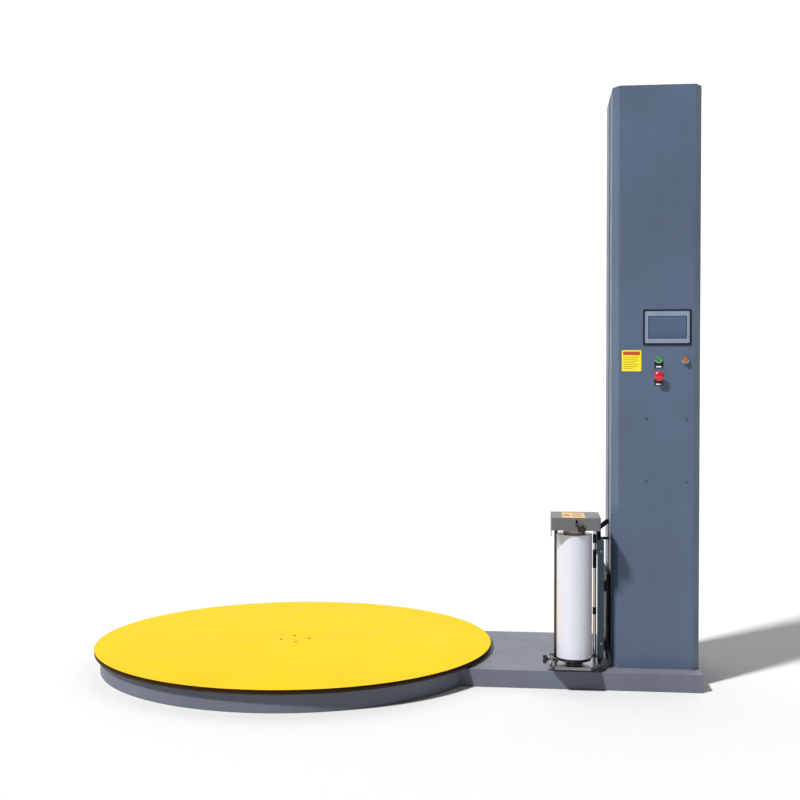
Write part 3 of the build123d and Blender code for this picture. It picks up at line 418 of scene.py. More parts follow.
# ------------------------------------------------------------------------------ finishes
@dataclass(frozen=True)
class Finish:
    """A surface finish.

    Attributes:
        name: The material's name.
        slot: The name of a material slot; not used.
        shade: Its base colour.
        roughness: Its mean roughness.
    """

    name: str
    slot: Union[str, None]
    shade: Shade
    roughness: float

    def material(self) -> bpy.types.Material:
        """Makes the material the first time that it is asked for.

        Returns:
            The material.
        """
        found = bpy.data.materials.get(self.name)
        if found is not None:
            return found
        made = bpy.data.materials.new(self.name)
        made.use_nodes = True
        made.diffuse_color = self.shade.linear
        self.wire(Graph(made.node_tree), made.node_tree.nodes["Principled BSDF"])
        return made

    def wire(self, graph: Graph, shader: bpy.types.Node) -> None:
        """Wires the material; each kind of finish has its own way."""
        raise NotImplementedError(self.name)

    def vary_gloss(self, graph: Graph, value: Feed, swing: float) -> Socket:
        """Roughness that swings about the finish's own, as value goes from 0.3 to 0.7."""
        return graph.ramp(value, 0.3, 0.7, self.roughness - swing, self.roughness + swing)


@dataclass(frozen=True)
class Paint(Finish):
    """Sprayed coat on sheet steel.

    Attributes:
        variation: How far the colour drifts, as a share.
        runs: How far it drifts in upright runs, as a share.
        peel: Depth of the coat's texture, in metres.
        wave: Depth of the sheet's slow wave, in metres.
        edge: Width of the rounded edges, in metres.
        wear: How much of the edges is rubbed bare.
        dust: How much dust lies on top.
        scuffs: How scratched the faces are.
        shine: How strongly it mirrors, where 0.5 is usual.
        rim: Beyond this distance from the turning axis the coat is dark; 0 for nowhere.
    """

    variation: float = 0.10
    runs: float = 0.03
    peel: float = 4.0e-5
    wave: float = 3.0e-4
    edge: float = 1.8e-3
    wear: float = 0.8
    dust: float = 0.2
    scuffs: float = 0.0
    shine: float = 0.25
    rim: float = 0.0

    def wire(self, graph: Graph, shader: bpy.types.Node) -> None:
        """Wires drifted colour, rubbed edges, scuffs, dust and the coat's texture.

        Args:
            graph: The material's tree.
            shader: Its Principled BSDF.
        """
        drift = graph.effect(
            COLOUR_DRIFT, Colour=self.shade.linear, Variation=self.variation, Scale=2.6, Runs=self.runs
        )
        wear = graph.effect(EDGE_WEAR, Width=self.edge, Scale=55.0, Amount=self.wear)
        scuffs = graph.effect(SCUFFS, Amount=self.scuffs, Scale=9.0)
        dust = graph.effect(SETTLED_DUST, Amount=self.dust, Scale=6.0)
        grain = graph.effect(COAT_GRAIN, Scale=520.0, Depth=self.peel, Wave_scale=2.6, Wave_depth=self.wave)
        colour = graph.blend(wear.outputs["Mask"], drift.outputs["Colour"], Shade.PRIMER.linear)
        colour = graph.blend(scuffs.outputs["Mask"], colour, Shade.PRIMER.linear)
        colour = graph.blend(dust.outputs["Mask"], colour, Shade.DUST.linear)
        if self.rim > 0:
            level = {0: graph.place(), 1: (1.0, 1.0, 0.0)}
            flat = graph.add("VectorMath", level, operation="MULTIPLY").outputs[0]
            reach = graph.add("VectorMath", {0: flat}, operation="LENGTH").outputs["Value"]
            outside = graph.ramp(reach, self.rim - RIM_FADE, self.rim)
            colour = graph.blend(outside, colour, Shade.RIM_BROWN.linear)
        gloss = self.vary_gloss(graph, grain.outputs["Gloss"], 0.06)
        dulled = graph.math("ADD", gloss, graph.math("MULTIPLY", dust.outputs["Mask"], 0.4))
        bump = graph.bump(grain.outputs["Height"], Normal=wear.outputs["Normal"])
        graph.wire(shader, {
            "Base Color": colour, "Roughness": dulled, "Normal": bump,
            "Metallic": graph.math("MULTIPLY", wear.outputs["Mask"], 0.7), "Specular IOR Level": self.shine,
        })


class Lay(Enum):
    """The way that drawn lines run on steel, as how much finer they are along X, Y and Z."""

    ALONG_X = (1.0, 40.0, 40.0)
    UPRIGHT = (40.0, 40.0, 1.0)
    TURNED = (6.0, 6.0, 60.0)
    CAST = (1.0, 1.0, 1.0)


@dataclass(frozen=True)
class Steel(Finish):
    """Bare, plated or polished steel.

    Attributes:
        lay: The way that its lines run.
        depth: Depth of the lines, in metres.
        grime: How much dark grime it carries.
        edge: Width of the rounded edges, in metres.
    """

    lay: Lay = Lay.CAST
    depth: float = 4.0e-6
    grime: float = 0.2
    edge: float = 6.0e-4

    def wire(self, graph: Graph, shader: bpy.types.Node) -> None:
        """Wires drawn lines, patches of grime and rounded edges.

        Args:
            graph: The material's tree.
            shader: Its Principled BSDF.
        """
        lines = graph.effect(BRUSHING, Scale=14.0, Stretch=self.lay.value, Depth=self.depth)
        wear = graph.effect(EDGE_WEAR, Width=self.edge, Scale=90.0, Amount=0.5)
        drift = graph.effect(COLOUR_DRIFT, Colour=self.shade.linear, Variation=0.07, Scale=16.0)
        patches = graph.ramp(graph.noise(11.0, 6.0), 0.52, 0.78, 0.0, self.grime)
        colour = graph.blend(patches, drift.outputs["Colour"], Shade.OILED_STEEL.linear)
        colour = graph.blend(wear.outputs["Mask"], colour, Shade.CHROME.linear)
        rough = self.vary_gloss(graph, lines.outputs["Lines"], 0.06)
        bump = graph.bump(lines.outputs["Height"], Normal=wear.outputs["Normal"])
        graph.wire(shader, {
            "Base Color": colour, "Metallic": 1.0, "Normal": bump,
            "Roughness": graph.math("ADD", rough, graph.math("MULTIPLY", patches, 0.3)),
        })


@dataclass(frozen=True)
class Moulding(Finish):
    """Moulded plastic or rubber.

    Attributes:
        texture: Depth of the mould's texture, in metres.
        variation: How far the colour drifts, as a share.
        edge: Width of the rounded edges, in metres.
        shine: How much handling has polished the edges.
        dust: How much dust lies on top.
        coat: Weight of a glossy skin.
    """

    texture: float = 2.0e-5
    variation: float = 0.05
    edge: float = 8.0e-4
    shine: float = 0.25
    dust: float = 0.15
    coat: float = 0.0

    def wire(self, graph: Graph, shader: bpy.types.Node) -> None:
        """Wires drifted colour, the mould's texture, polished edges and dust.

        Args:
            graph: The material's tree.
            shader: Its Principled BSDF.
        """
        drift = graph.effect(COLOUR_DRIFT, Colour=self.shade.linear, Variation=self.variation, Scale=24.0)
        wear = graph.effect(EDGE_WEAR, Width=self.edge, Scale=120.0, Amount=self.shine)
        dust = graph.effect(SETTLED_DUST, Amount=self.dust, Scale=30.0)
        grain = graph.effect(COAT_GRAIN, Scale=1400.0, Depth=self.texture, Wave_scale=40.0, Wave_depth=3.0e-5)
        paler = graph.scaled(drift.outputs["Colour"], 1.7)
        colour = graph.blend(wear.outputs["Mask"], drift.outputs["Colour"], paler)
        colour = graph.blend(dust.outputs["Mask"], colour, Shade.DUST.linear)
        gloss = self.vary_gloss(graph, grain.outputs["Gloss"], 0.05)
        bump = graph.bump(grain.outputs["Height"], Normal=wear.outputs["Normal"])
        graph.wire(shader, {
            "Base Color": colour, "Normal": bump, "Coat Weight": self.coat, "Coat Roughness": 0.08,
            "Roughness": graph.math("ADD", gloss, graph.math("MULTIPLY", dust.outputs["Mask"], 0.5)),
        })


@dataclass(frozen=True)
class Film(Finish):
    """Wound stretch film: a painted sheen of pale bluish and pinkish bands up the roll, fine layers on its
    ends, and a glossy skin.

    Attributes:
        axis: Where the roll's axis stands, in metres.
    """

    axis: tuple[float, float] = (0.0, 0.0)

    def wire(self, graph: Graph, shader: bpy.types.Node) -> None:
        """Wires the painted sheen bands, the layers and the soft windings.

        Args:
            graph: The material's tree.
            shader: Its Principled BSDF.
        """
        # Painted sheen: the bluish and pinkish upright bands stand in for the film's reflections.
        cool = graph.ramp(graph.noise(9.0, 2.0, (1.0, 1.0, 0.04)), 0.40, 0.66)
        warm = graph.ramp(graph.noise(17.0, 2.0, (1.0, 1.0, 0.05)), 0.50, 0.72, 0.0, 0.8)
        skin = graph.blend(cool, self.shade.linear, Shade.FILM_BLUE_TINT_AND_SHEEN.linear)
        skin = graph.blend(warm, skin, Shade.FILM_ROSE_SHEEN.linear)
        shift = (-self.axis[0], -self.axis[1], 0.0)
        centred = graph.add("Mapping", {"Vector": graph.place(), "Location": shift})
        rings = graph.add(
            "TexWave", {"Vector": centred.outputs[0], "Scale": 90.0, "Distortion": 1.5, "Detail": 2.0},
            wave_type="RINGS", rings_direction="Z",
        ).outputs["Fac"]
        level = graph.math("ABSOLUTE", graph.upward())
        layered = graph.math("MULTIPLY", graph.ramp(level, 0.6, 0.9), graph.ramp(rings, 0.2, 0.9, 0.0, 0.5))
        windings = graph.math("MULTIPLY", graph.noise(30.0, 2.0, (0.6, 0.6, 5.0)), 1.6e-4)
        graph.wire(shader, {
            "Base Color": graph.blend(layered, skin, Shade.FILM_BLUE_TINT_AND_SHEEN.linear),
            "Roughness": self.vary_gloss(graph, graph.noise(40.0, 3.0), 0.06),
            "Coat Weight": 0.7, "Coat Roughness": 0.12, "Normal": graph.bump(windings),
        })


@dataclass(frozen=True)
class Board(Finish):
    """Spiral-wound cardboard tube."""

    def wire(self, graph: Graph, shader: bpy.types.Node) -> None:
        """Wires paper fibres and the tube's spiral seams.

        Args:
            graph: The material's tree.
            shader: Its Principled BSDF.
        """
        fibres = graph.noise(160.0, 5.0, (1.0, 1.0, 6.0))
        slant = graph.add("Mapping", {"Vector": graph.place(), "Rotation": (0.0, math.radians(32), 0.0)})
        wave = {"Vector": slant.outputs[0], "Scale": 7.0, "Distortion": 0.3}
        seams = graph.add("TexWave", wave).outputs["Fac"]
        drift = graph.effect(COLOUR_DRIFT, Colour=self.shade.linear, Variation=0.16, Scale=55.0)
        seam = graph.ramp(seams, 0.96, 1.0, 0.0, 0.5)
        bump = graph.bump(graph.math("MULTIPLY", fibres, 6.0e-5))
        graph.wire(shader, {
            "Base Color": graph.blend(seam, drift.outputs["Colour"], Shade.LABEL_INK.linear),
            "Roughness": self.vary_gloss(graph, fibres, 0.05), "Normal": bump,
        })


@dataclass(frozen=True)
class Screen(Finish):
    """A touch screen that is switched off, with finger smears on its glossy face."""

    def wire(self, graph: Graph, shader: bpy.types.Node) -> None:
        """Wires the smears, and a painted reflection that makes the face lighter towards its top.

        Args:
            graph: The material's tree.
            shader: Its Principled BSDF.
        """
        height = graph.add("SeparateXYZ", {0: graph.place()}).outputs["Z"]
        # Painted reflection: glow lightens the face towards its top and darkens it towards its bottom; the
        # screen gives no light.
        glow = graph.ramp(height, 1.34, 1.43, -0.1, 0.1)
        drift = graph.effect(COLOUR_DRIFT, Colour=self.shade.linear, Variation=0.05, Scale=14.0)
        colour = graph.scaled(drift.outputs["Colour"], graph.math("ADD", glow, 1.0))
        smears = graph.ramp(graph.noise(30.0, 3.0, (1.0, 1.0, 1.6)), 0.45, 0.75, 0.0, 0.08)
        graph.wire(shader, {
            "Base Color": colour, "Roughness": graph.math("ADD", smears, self.roughness),
            "Coat Weight": 1.0, "Coat Roughness": 0.05,
        })


MAST_COAT = Paint("mast_powder_coat", "mast_paint", Shade.MAST_GREY, 0.46)
BEAM_COAT = Paint("beam_powder_coat", "beam_paint", Shade.BEAM_GREY, 0.5, dust=0.28, scuffs=0.35, wear=0.5)
FRAME_COAT = Paint("frame_paint_coat", "frame_paint", Shade.FRAME_GREY, 0.55, dust=0.35)
HEAD_COAT = Paint("head_paint_coat", "head_paint", Shade.HEAD_GREY, 0.42, edge=9e-4, wave=8e-5)
# Darker than the mast's coat: the column's own paint with painted shade.
COLUMN_COAT_AND_SHADE = Paint("column_paint_and_painted_shade", "mast_paint", Shade.COLUMN_GREY_AND_SHADE, 0.4, edge=9e-4, wave=8e-5)
# Black paint; on the trolley bracket its darkness is partly painted shade.
BLACK_COAT_AND_SHADE = Paint(
    "bracket_black_and_painted_shade", "black_paint", Shade.SATIN_BLACK_AND_SHADE, 0.5,
    edge=9e-4, wave=5e-5, wear=0.35, dust=0.05, shine=0.15,
)
# Polished steel with a dark base colour: a painted reflection of dark surroundings on the stay rod; the
# knobs' studs and inserts share it.
DARK_STEEL_AND_REFLECTION = Steel(
    "dark_steel_with_painted_reflection", "chrome", Shade.OILED_STEEL, 0.22, grime=0.1, lay=Lay.TURNED, depth=1e-6
)
MOTOR_COAT = Paint("motor_cast_coat", "motor_paint", Shade.MOTOR_BLUE, 0.5, peel=8e-5, wave=5e-5, edge=8e-4)
TABLE_COAT = Paint(
    "table_yellow_coat", "table_yellow", Shade.TABLE_YELLOW, 0.4,
    variation=0.04, runs=0.0, dust=0.0, scuffs=0.12, wear=0.3, wave=1.2e-4, shine=0.012, rim=0.8242,
)
RIM_COAT = Paint("rim_dark_coat", "rim_paint", Shade.RIM_BROWN, 0.5, wear=0.6)
# The tray's steel, darkened as painted shade of its shadowed inside.
STAINLESS_AND_SHADE = Steel("tray_stainless_painted_shade", "bright_steel", Shade.STAINLESS_AND_SHADE, 0.28, lay=Lay.ALONG_X)
RAIL_STEEL = Steel("rail_drawn_steel", "bright_steel", Shade.BARE_STEEL, 0.32, lay=Lay.UPRIGHT, grime=0.35)
ZINC = Steel("zinc_plate", "plated_steel", Shade.ZINC, 0.38, grime=0.25)
CHAIN_STEEL = Steel("oiled_chain_steel", "chain_steel", Shade.OILED_STEEL, 0.4, grime=0.5, lay=Lay.TURNED)
CHROME = Steel("polished_chrome", "chrome", Shade.CHROME, 0.1, grime=0.06, lay=Lay.TURNED, depth=1e-6)
RUBBER = Moulding("black_rubber", "rubber", Shade.RUBBER_BLACK, 0.75, texture=4e-5)
GASKET = Moulding("panel_gasket", "rubber", Shade.GASKET_BLUE, 0.55)
NYLON = Moulding("white_nylon", "nylon", Shade.NYLON_WHITE, 0.45)
BLACK_PLASTIC = Moulding("black_moulding", "black_plastic", Shade.MOULDED_BLACK, 0.5, shine=0.35, dust=0.05)
TYRE = Moulding("roller_tyre", "wheel_plastic", Shade.TYRE_GREY, 0.55, texture=4e-5)
BEZEL = Moulding("bezel_moulding", "hmi_plastic", Shade.BEZEL_GREY, 0.38)
MODULE_DARK = Moulding("module_dark", "module_plastic", Shade.MODULE_GREY, 0.5)
MODULE_PALE = Moulding("module_pale", "module_plastic", Shade.MODULE_LIGHT, 0.5)
TERMINAL = Moulding("terminal_green", "module_plastic", Shade.TERMINAL_GREEN, 0.5)
SCREEN = Screen("screen_face", "screen_glass", Shade.SCREEN_SLATE, 0.16)
GREEN = Moulding("green_cap", "green_plastic", Shade.GREEN, 0.24, coat=0.6, texture=4e-6)
RED = Moulding("red_mushroom", "red_plastic", Shade.RED, 0.26, coat=0.6, texture=4e-6)
AMBER = Moulding("amber_lens_cap", "amber_lens", Shade.AMBER, 0.2, coat=0.9, texture=4e-6)
FILM = Film("wound_film", "film", Shade.FILM_WHITE, 0.34)
# The core's board colour includes painted light against the head's shade.
CARDBOARD_AND_LIGHT = Board("core_board_painted_light", "cardboard", Shade.CARDBOARD_AND_LIGHT, 0.85)
LABEL_YELLOW = Moulding("label_yellow", None, Shade.LABEL_YELLOW, 0.4, dust=0.0, texture=5e-6)
LABEL_ORANGE = Moulding("label_orange", None, Shade.LABEL_ORANGE, 0.4, dust=0.0, texture=5e-6)
LABEL_AMBER = Moulding("label_amber", None, Shade.LABEL_AMBER, 0.4, dust=0.05, texture=5e-6)
LABEL_INK = Moulding("label_ink", None, Shade.LABEL_INK, 0.5, dust=0.0, texture=5e-6)
LEGEND_WHITE = Moulding("legend_white", None, Shade.LEGEND_WHITE, 0.5, dust=0.0, texture=5e-6)


# ------------------------------------------------------------------------------ shaping
@dataclass(frozen=True)
class Span:
    """A box in the frame.

    Attributes:
        low: Its lowest corner.
        high: Its highest corner.
    """

    low: Vector
    high: Vector

    @classmethod
    def of(cls, node: str) -> "Span":
        """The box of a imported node."""
        return cls(*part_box(node))

    @classmethod
    def between(cls, low: Sequence[float], high: Sequence[float]) -> "Span":
        """The box between two corners."""
        return cls(Vector(low), Vector(high))

    def slab(self, border: float, near: float, far: float) -> "Span":
        """The box's outline from the front, between two depths along Y.

        Args:
            border: How far the outline is drawn in.
            near: Where it starts along Y.
            far: Where it ends.

        Returns:
            The new box.
        """
        low, high = self.low, self.high
        return Span.between(
            (low.x + border, near, low.z + border), (high.x - border, far, high.z - border)
        )

    @property
    def foot(self) -> Matrix:
        """The place of something upright that stands on the box's bottom."""
        return facing((self.centre.x, self.centre.y, self.low.z), UP)

    @property
    def centre(self) -> Vector:
        """The box's middle."""
        return (self.low + self.high) / 2

    @property
    def size(self) -> Vector:
        """The box's size along each axis."""
        return self.high - self.low


def solids_of(node: bpy.types.Object) -> list[Span]:
    """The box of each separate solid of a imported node, largest first.

    Args:
        node: The node's object.

    Returns:
        The boxes.
    """
    bm = bmesh.new()
    bm.from_mesh(node.data)
    bmesh.ops.remove_doubles(bm, verts=bm.verts, dist=1e-6)
    unseen, spans = set(bm.verts), []
    while unseen:
        queue, corners = [unseen.pop()], []
        while queue:
            vert = queue.pop()
            corners.append(vert.co.copy())
            for edge in vert.link_edges:
                other = edge.other_vert(vert)
                if other in unseen:
                    unseen.remove(other)
                    queue.append(other)
        low = Vector([min(c[k] for c in corners) for k in range(3)])
        spans.append(Span(low, Vector([max(c[k] for c in corners) for k in range(3)])))
    bm.free()
    return sorted(spans, key=lambda span: -span.size.x * span.size.y * span.size.z)


def facing(at: Sequence[float], way: Sequence[float]) -> Matrix:
    """The place of something that is made about Z and looks another way.

    Args:
        at: Where its origin goes.
        way: Where its Z axis goes.

    Returns:
        The matrix.
    """
    turn = Vector(way).to_track_quat("Z", "Y").to_matrix().to_4x4()
    return Matrix.Translation(Vector(at)) @ turn


class Head(Enum):
    """The kinds of screw head."""

    HEXAGON = "hexagon"
    SOCKET = "socket"


class Shape:
    """A mesh under construction, in metres, shaped by mesh operators."""

    def __init__(self) -> None:
        """Starts with nothing."""
        self.bm = bmesh.new()

    def take(self, part: bmesh.types.BMesh, place: Matrix, skin: int = 0) -> "Shape":
        """Moves a finished part into the shape.

        Args:
            part: The part, which is used up.
            place: Where its origin and axes go.
            skin: Which finish it takes.

        Returns:
            The shape itself.
        """
        bmesh.ops.transform(part, matrix=place, verts=part.verts)
        for face in part.faces:
            face.material_index = skin
        scrap = bpy.data.meshes.new("part")
        part.to_mesh(scrap)
        part.free()
        self.bm.from_mesh(scrap)
        bpy.data.meshes.remove(scrap)
        return self

    @staticmethod
    def bevel(
        part: bmesh.types.BMesh, edges: Sequence[bmesh.types.BMEdge], width: float, segments: int
    ) -> None:
        """Rounds some of a part's edges.

        Args:
            part: The part.
            edges: The edges.
            width: How wide the rounding is.
            segments: How many faces go round an edge.
        """
        bmesh.ops.bevel(
            part, geom=edges, offset=width, offset_type="OFFSET", segments=segments,
            profile=0.5, affect="EDGES", clamp_overlap=True, material=-1,
        )

    @staticmethod
    def rise(part: bmesh.types.BMesh, face: bmesh.types.BMFace, depth: float) -> None:
        """Thickens a flat part along Z.

        Args:
            part: The part.
            face: Its one face.
            depth: The thickness.
        """
        risen = bmesh.ops.extrude_face_region(part, geom=[face], use_keep_orig=True)
        tops = [v for v in risen["geom"] if isinstance(v, bmesh.types.BMVert)]
        bmesh.ops.translate(part, vec=(0, 0, depth), verts=tops)

    @classmethod
    def ease(
        cls, part: bmesh.types.BMesh, width: float, segments: int = 2, sharper: float = 0.6
    ) -> None:
        """Closes a part, points its faces outwards and rounds its sharp edges.

        Args:
            part: The part.
            width: How wide the rounding is.
            segments: How many faces go round an edge.
            sharper: Edges that turn more than this angle are rounded.
        """
        bmesh.ops.remove_doubles(part, verts=part.verts, dist=1e-6)
        bmesh.ops.recalc_face_normals(part, faces=part.faces)
        if width > 0:
            sharp = [e for e in part.edges if len(e.link_faces) == 2 and e.calc_face_angle(0.0) > sharper]
            cls.bevel(part, sharp, width, segments)

    def turned(
        self, profile: Profile, place: Matrix, steps: int = 48, closed: bool = False,
        ease: float = 0.0, skin: int = 0,
    ) -> "Shape":
        """Spins a profile about its Z axis.

        Args:
            profile: Points as radius and height. It ends on the axis, or is closed.
            place: Where the axis stands.
            steps: Faces round the axis.
            closed: Whether the last point joins the first, as in a ring.
            ease: Width of the rounded edges.
            skin: Which finish it takes.

        Returns:
            The shape itself.
        """
        part = bmesh.new()
        verts = [part.verts.new((radius, 0.0, height)) for radius, height in profile]
        pairs = list(zip(verts, verts[1:])) + ([(verts[-1], verts[0])] if closed else [])
        edges = [part.edges.new(pair) for pair in pairs]
        bmesh.ops.spin(
            part, geom=verts + edges, cent=(0, 0, 0), axis=UP, angle=FULL_TURN, steps=steps, use_merge=True
        )
        self.ease(part, ease)
        return self.take(part, place, skin)

    def disc(
        self, radius: float, low: float, high: float, place: Matrix, steps: int = 48,
        ease: float = 0.0, skin: int = 0,
    ) -> "Shape":
        """A disc, a cylinder or, with few steps, a prism.

        Args:
            radius: Its radius.
            low: Where it starts on its axis.
            high: Where it ends.
            place: Where its axis stands.
            steps: Faces round it.
            ease: Width of the rounded rims.
            skin: Which finish it takes.

        Returns:
            The shape itself.
        """
        profile = [(0.0, low), (radius, low), (radius, high), (0.0, high)]
        return self.turned(profile, place, steps, ease=ease, skin=skin)

    def rod(
        self, start: Vector, end: Vector, radius: float, ease: float = 0.0, steps: int = 32, skin: int = 0
    ) -> "Shape":
        """A round bar between two points.

        Args:
            start: One end.
            end: The other end.
            radius: Its radius.
            ease: Width of the rounded rims.
            steps: Faces round it.
            skin: Which finish it takes.

        Returns:
            The shape itself.
        """
        return self.disc(radius, 0.0, (end - start).length, facing(start, end - start), steps, ease, skin)

    def block(
        self, span: Span, ease: float = 5e-4, corner: float = 0.0, way: int = 2, skin: int = 0
    ) -> "Shape":
        """A box with rounded edges.

        Args:
            span: The box.
            ease: Width of the rounding on every edge.
            corner: A larger radius on the edges along one axis.
            way: That axis: 0, 1 or 2.
            skin: Which finish it takes.

        Returns:
            The shape itself.
        """
        return self.dished(span, Vector((0, 0, 0)), [], ease, corner, way, skin)

    def dished(
        self, span: Span, front: Vector, steps: Profile, ease: float = 5e-4, corner: float = 0.0,
        way: int = 1, skin: int = 0, inner_skin: Union[int, None] = None,
    ) -> "Shape":
        """A box whose front is stepped inwards.

        Args:
            span: The box.
            front: The way its front faces.
            steps: Each step as the width of its border and how deep it goes.
            ease: Width of the rounding on every edge.
            corner: A larger radius on the edges along one axis.
            way: That axis: 0, 1 or 2.
            skin: The finish of the box.
            inner_skin: The finish of the innermost face, where it differs.

        Returns:
            The shape itself.
        """
        part = bmesh.new()
        bmesh.ops.create_cube(part, size=1.0)
        bmesh.ops.scale(part, vec=span.size, verts=part.verts)
        marked = part.faces.layers.int.new("inner")
        if steps:
            face = max(part.faces, key=lambda f: f.normal.dot(front))
            for border, depth in steps:
                bmesh.ops.inset_individual(
                    part, faces=[face], thickness=border, depth=-depth, use_even_offset=True
                )
            face[marked] = 1
        if corner > 0:
            along = [e for e in part.edges if abs((e.verts[1].co - e.verts[0].co).normalized()[way]) > 0.9]
            self.bevel(part, along, corner, 4)
        self.ease(part, ease, sharper=0.8)
        inner = [f.index for f in part.faces if f[marked] == 1]
        before = len(self.bm.faces)
        self.take(part, Matrix.Translation(span.centre), skin)
        self.bm.faces.ensure_lookup_table()
        for index in inner if inner_skin is not None else []:
            self.bm.faces[before + index].material_index = inner_skin
        return self

    def prism(
        self, outline: Profile, place: Matrix, depth: float, ease: float = 5e-4, skin: int = 0
    ) -> "Shape":
        """An outline with a thickness.

        Args:
            outline: Its corners in its own plane.
            place: Where the outline's origin and Z axis go.
            depth: Its thickness along Z.
            ease: Width of the rounded edges.
            skin: Which finish it takes.

        Returns:
            The shape itself.
        """
        part = bmesh.new()
        face = part.faces.new([part.verts.new((x, y, 0.0)) for x, y in outline])
        self.rise(part, face, depth)
        self.ease(part, ease)
        return self.take(part, place, skin)

    def star(self, radius: float, thick: float, lobes: int, place: Matrix, skin: int = 0) -> "Shape":
        """A lobed grip with rounded edges and a dished face.

        Args:
            radius: Its radius over the lobes.
            thick: Its thickness.
            lobes: How many lobes it has.
            place: Where its back and its axis go.
            skin: Which finish it takes.

        Returns:
            The shape itself.
        """
        part = bmesh.new()
        bmesh.ops.create_circle(part, cap_ends=True, segments=lobes * 14, radius=1.0)
        for vert in part.verts:
            turn = math.atan2(vert.co.y, vert.co.x)
            swell = 0.5 + 0.5 * math.cos(lobes * turn)
            vert.co *= radius * (0.70 + 0.30 * swell**0.6)
        self.rise(part, next(iter(part.faces)), thick)
        self.ease(part, thick * 0.16, segments=3, sharper=1.0)
        top = max(part.faces, key=lambda f: (round(f.normal.z, 2), f.calc_center_median().z, f.calc_area()))
        bmesh.ops.inset_individual(part, faces=[top], thickness=radius * 0.16, depth=0.0)
        bmesh.ops.inset_individual(part, faces=[top], thickness=radius * 0.12, depth=-thick * 0.10)
        return self.take(part, place, skin)

    def screw(
        self, head: Head, at: Sequence[float], way: Sequence[float], radius: float, skin: int = 0
    ) -> "Shape":
        """A screw head on a surface, a hexagon with its washer or a button with a hexagon socket.

        Args:
            head: The kind of head.
            at: The surface's point under its middle.
            way: The way that it stands out.
            radius: The head's radius.
            skin: Which finish it takes.

        Returns:
            The shape itself.
        """
        place = facing(at, way)
        if head is Head.HEXAGON:
            self.disc(radius * 1.25, 0.0, radius * 0.2, place, 24, radius * 0.05, skin)
            self.disc(radius, radius * 0.2, radius * 0.85, place, 6, radius * 0.1, skin)
            return self.disc(radius * 0.5, radius * 0.8, radius * 1.1, place, 16, radius * 0.06, skin)
        part = bmesh.new()
        height = radius * 0.55
        bmesh.ops.create_circle(part, segments=24, radius=radius)
        bmesh.ops.create_circle(part, segments=6, radius=radius * 0.5)
        bmesh.ops.bridge_loops(part, edges=part.edges)
        bmesh.ops.translate(part, vec=(0, 0, height), verts=part.verts)
        for inner, drop in ((True, height * 0.7), (False, height)):
            rim = [
                e for e in part.edges
                if e.is_boundary and abs(e.verts[0].co.z - height) < 1e-9
                and (e.verts[0].co.xy.length < radius * 0.7) == inner
            ]
            wall = bmesh.ops.extrude_edge_only(part, edges=rim)["geom"]
            lowered = [v for v in wall if isinstance(v, bmesh.types.BMVert)]
            bmesh.ops.translate(part, vec=(0, 0, -drop), verts=lowered)
            loop = [e for e in wall if isinstance(e, bmesh.types.BMEdge) and e.is_boundary]
            bmesh.ops.edgeloop_fill(part, edges=loop)
        self.ease(part, 0.0)
        crown = [
            e for e in part.edges
            if all(v.co.z > height * 0.99 and v.co.xy.length > radius * 0.9 for v in e.verts)
        ]
        self.bevel(part, crown, height * 0.6, 3)
        return self.take(part, place, skin)

    def bead(self, start: Vector, end: Vector, radius: float, ripples: int, skin: int = 0) -> "Shape":
        """A weld bead that swells and thins along its length.

        Args:
            start: One end.
            end: The other end.
            radius: Its mean radius.
            ripples: How many swells it has.
            skin: Which finish it takes.

        Returns:
            The shape itself.
        """
        length = (end - start).length
        profile = [(0.0, 0.0)]
        for k in range(ripples * 4 + 1):
            swell = 1 + 0.12 * math.sin(k * math.pi / 2)
            profile.append((radius * swell, length * (k + 0.5) / (ripples * 4 + 2)))
        profile.append((0.0, length))
        return self.turned(profile, facing(start, end - start), 12, skin=skin)

    def piece(
        self, name: str, body: str, finishes: Sequence[Finish], angle: float = 35.0
    ) -> bpy.types.Object:
        """Finishes the mesh as a piece that rides on a body.

        Args:
            name: The piece's name.
            body: The body that it rides on.
            finishes: Its finishes, in the order that its skins count them.
            angle: Edges that turn more than this, in degrees, stay sharp.

        Returns:
            The piece.
        """
        bmesh.ops.recalc_face_normals(self.bm, faces=self.bm.faces)
        mesh = bpy.data.meshes.new(name)
        self.bm.to_mesh(mesh)
        self.bm.free()
        mesh.shade_smooth()
        mesh.set_sharp_from_angle(angle=math.radians(angle))
        for finish in finishes:
            mesh.materials.append(finish.material())
        made = bpy.data.objects.new(name, mesh)
        bpy.context.scene.collection.objects.link(made)
        flats = made.modifiers.new("flat faces stay flat", "WEIGHTED_NORMAL")
        flats.keep_sharp = True
        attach(made, body)
        return made


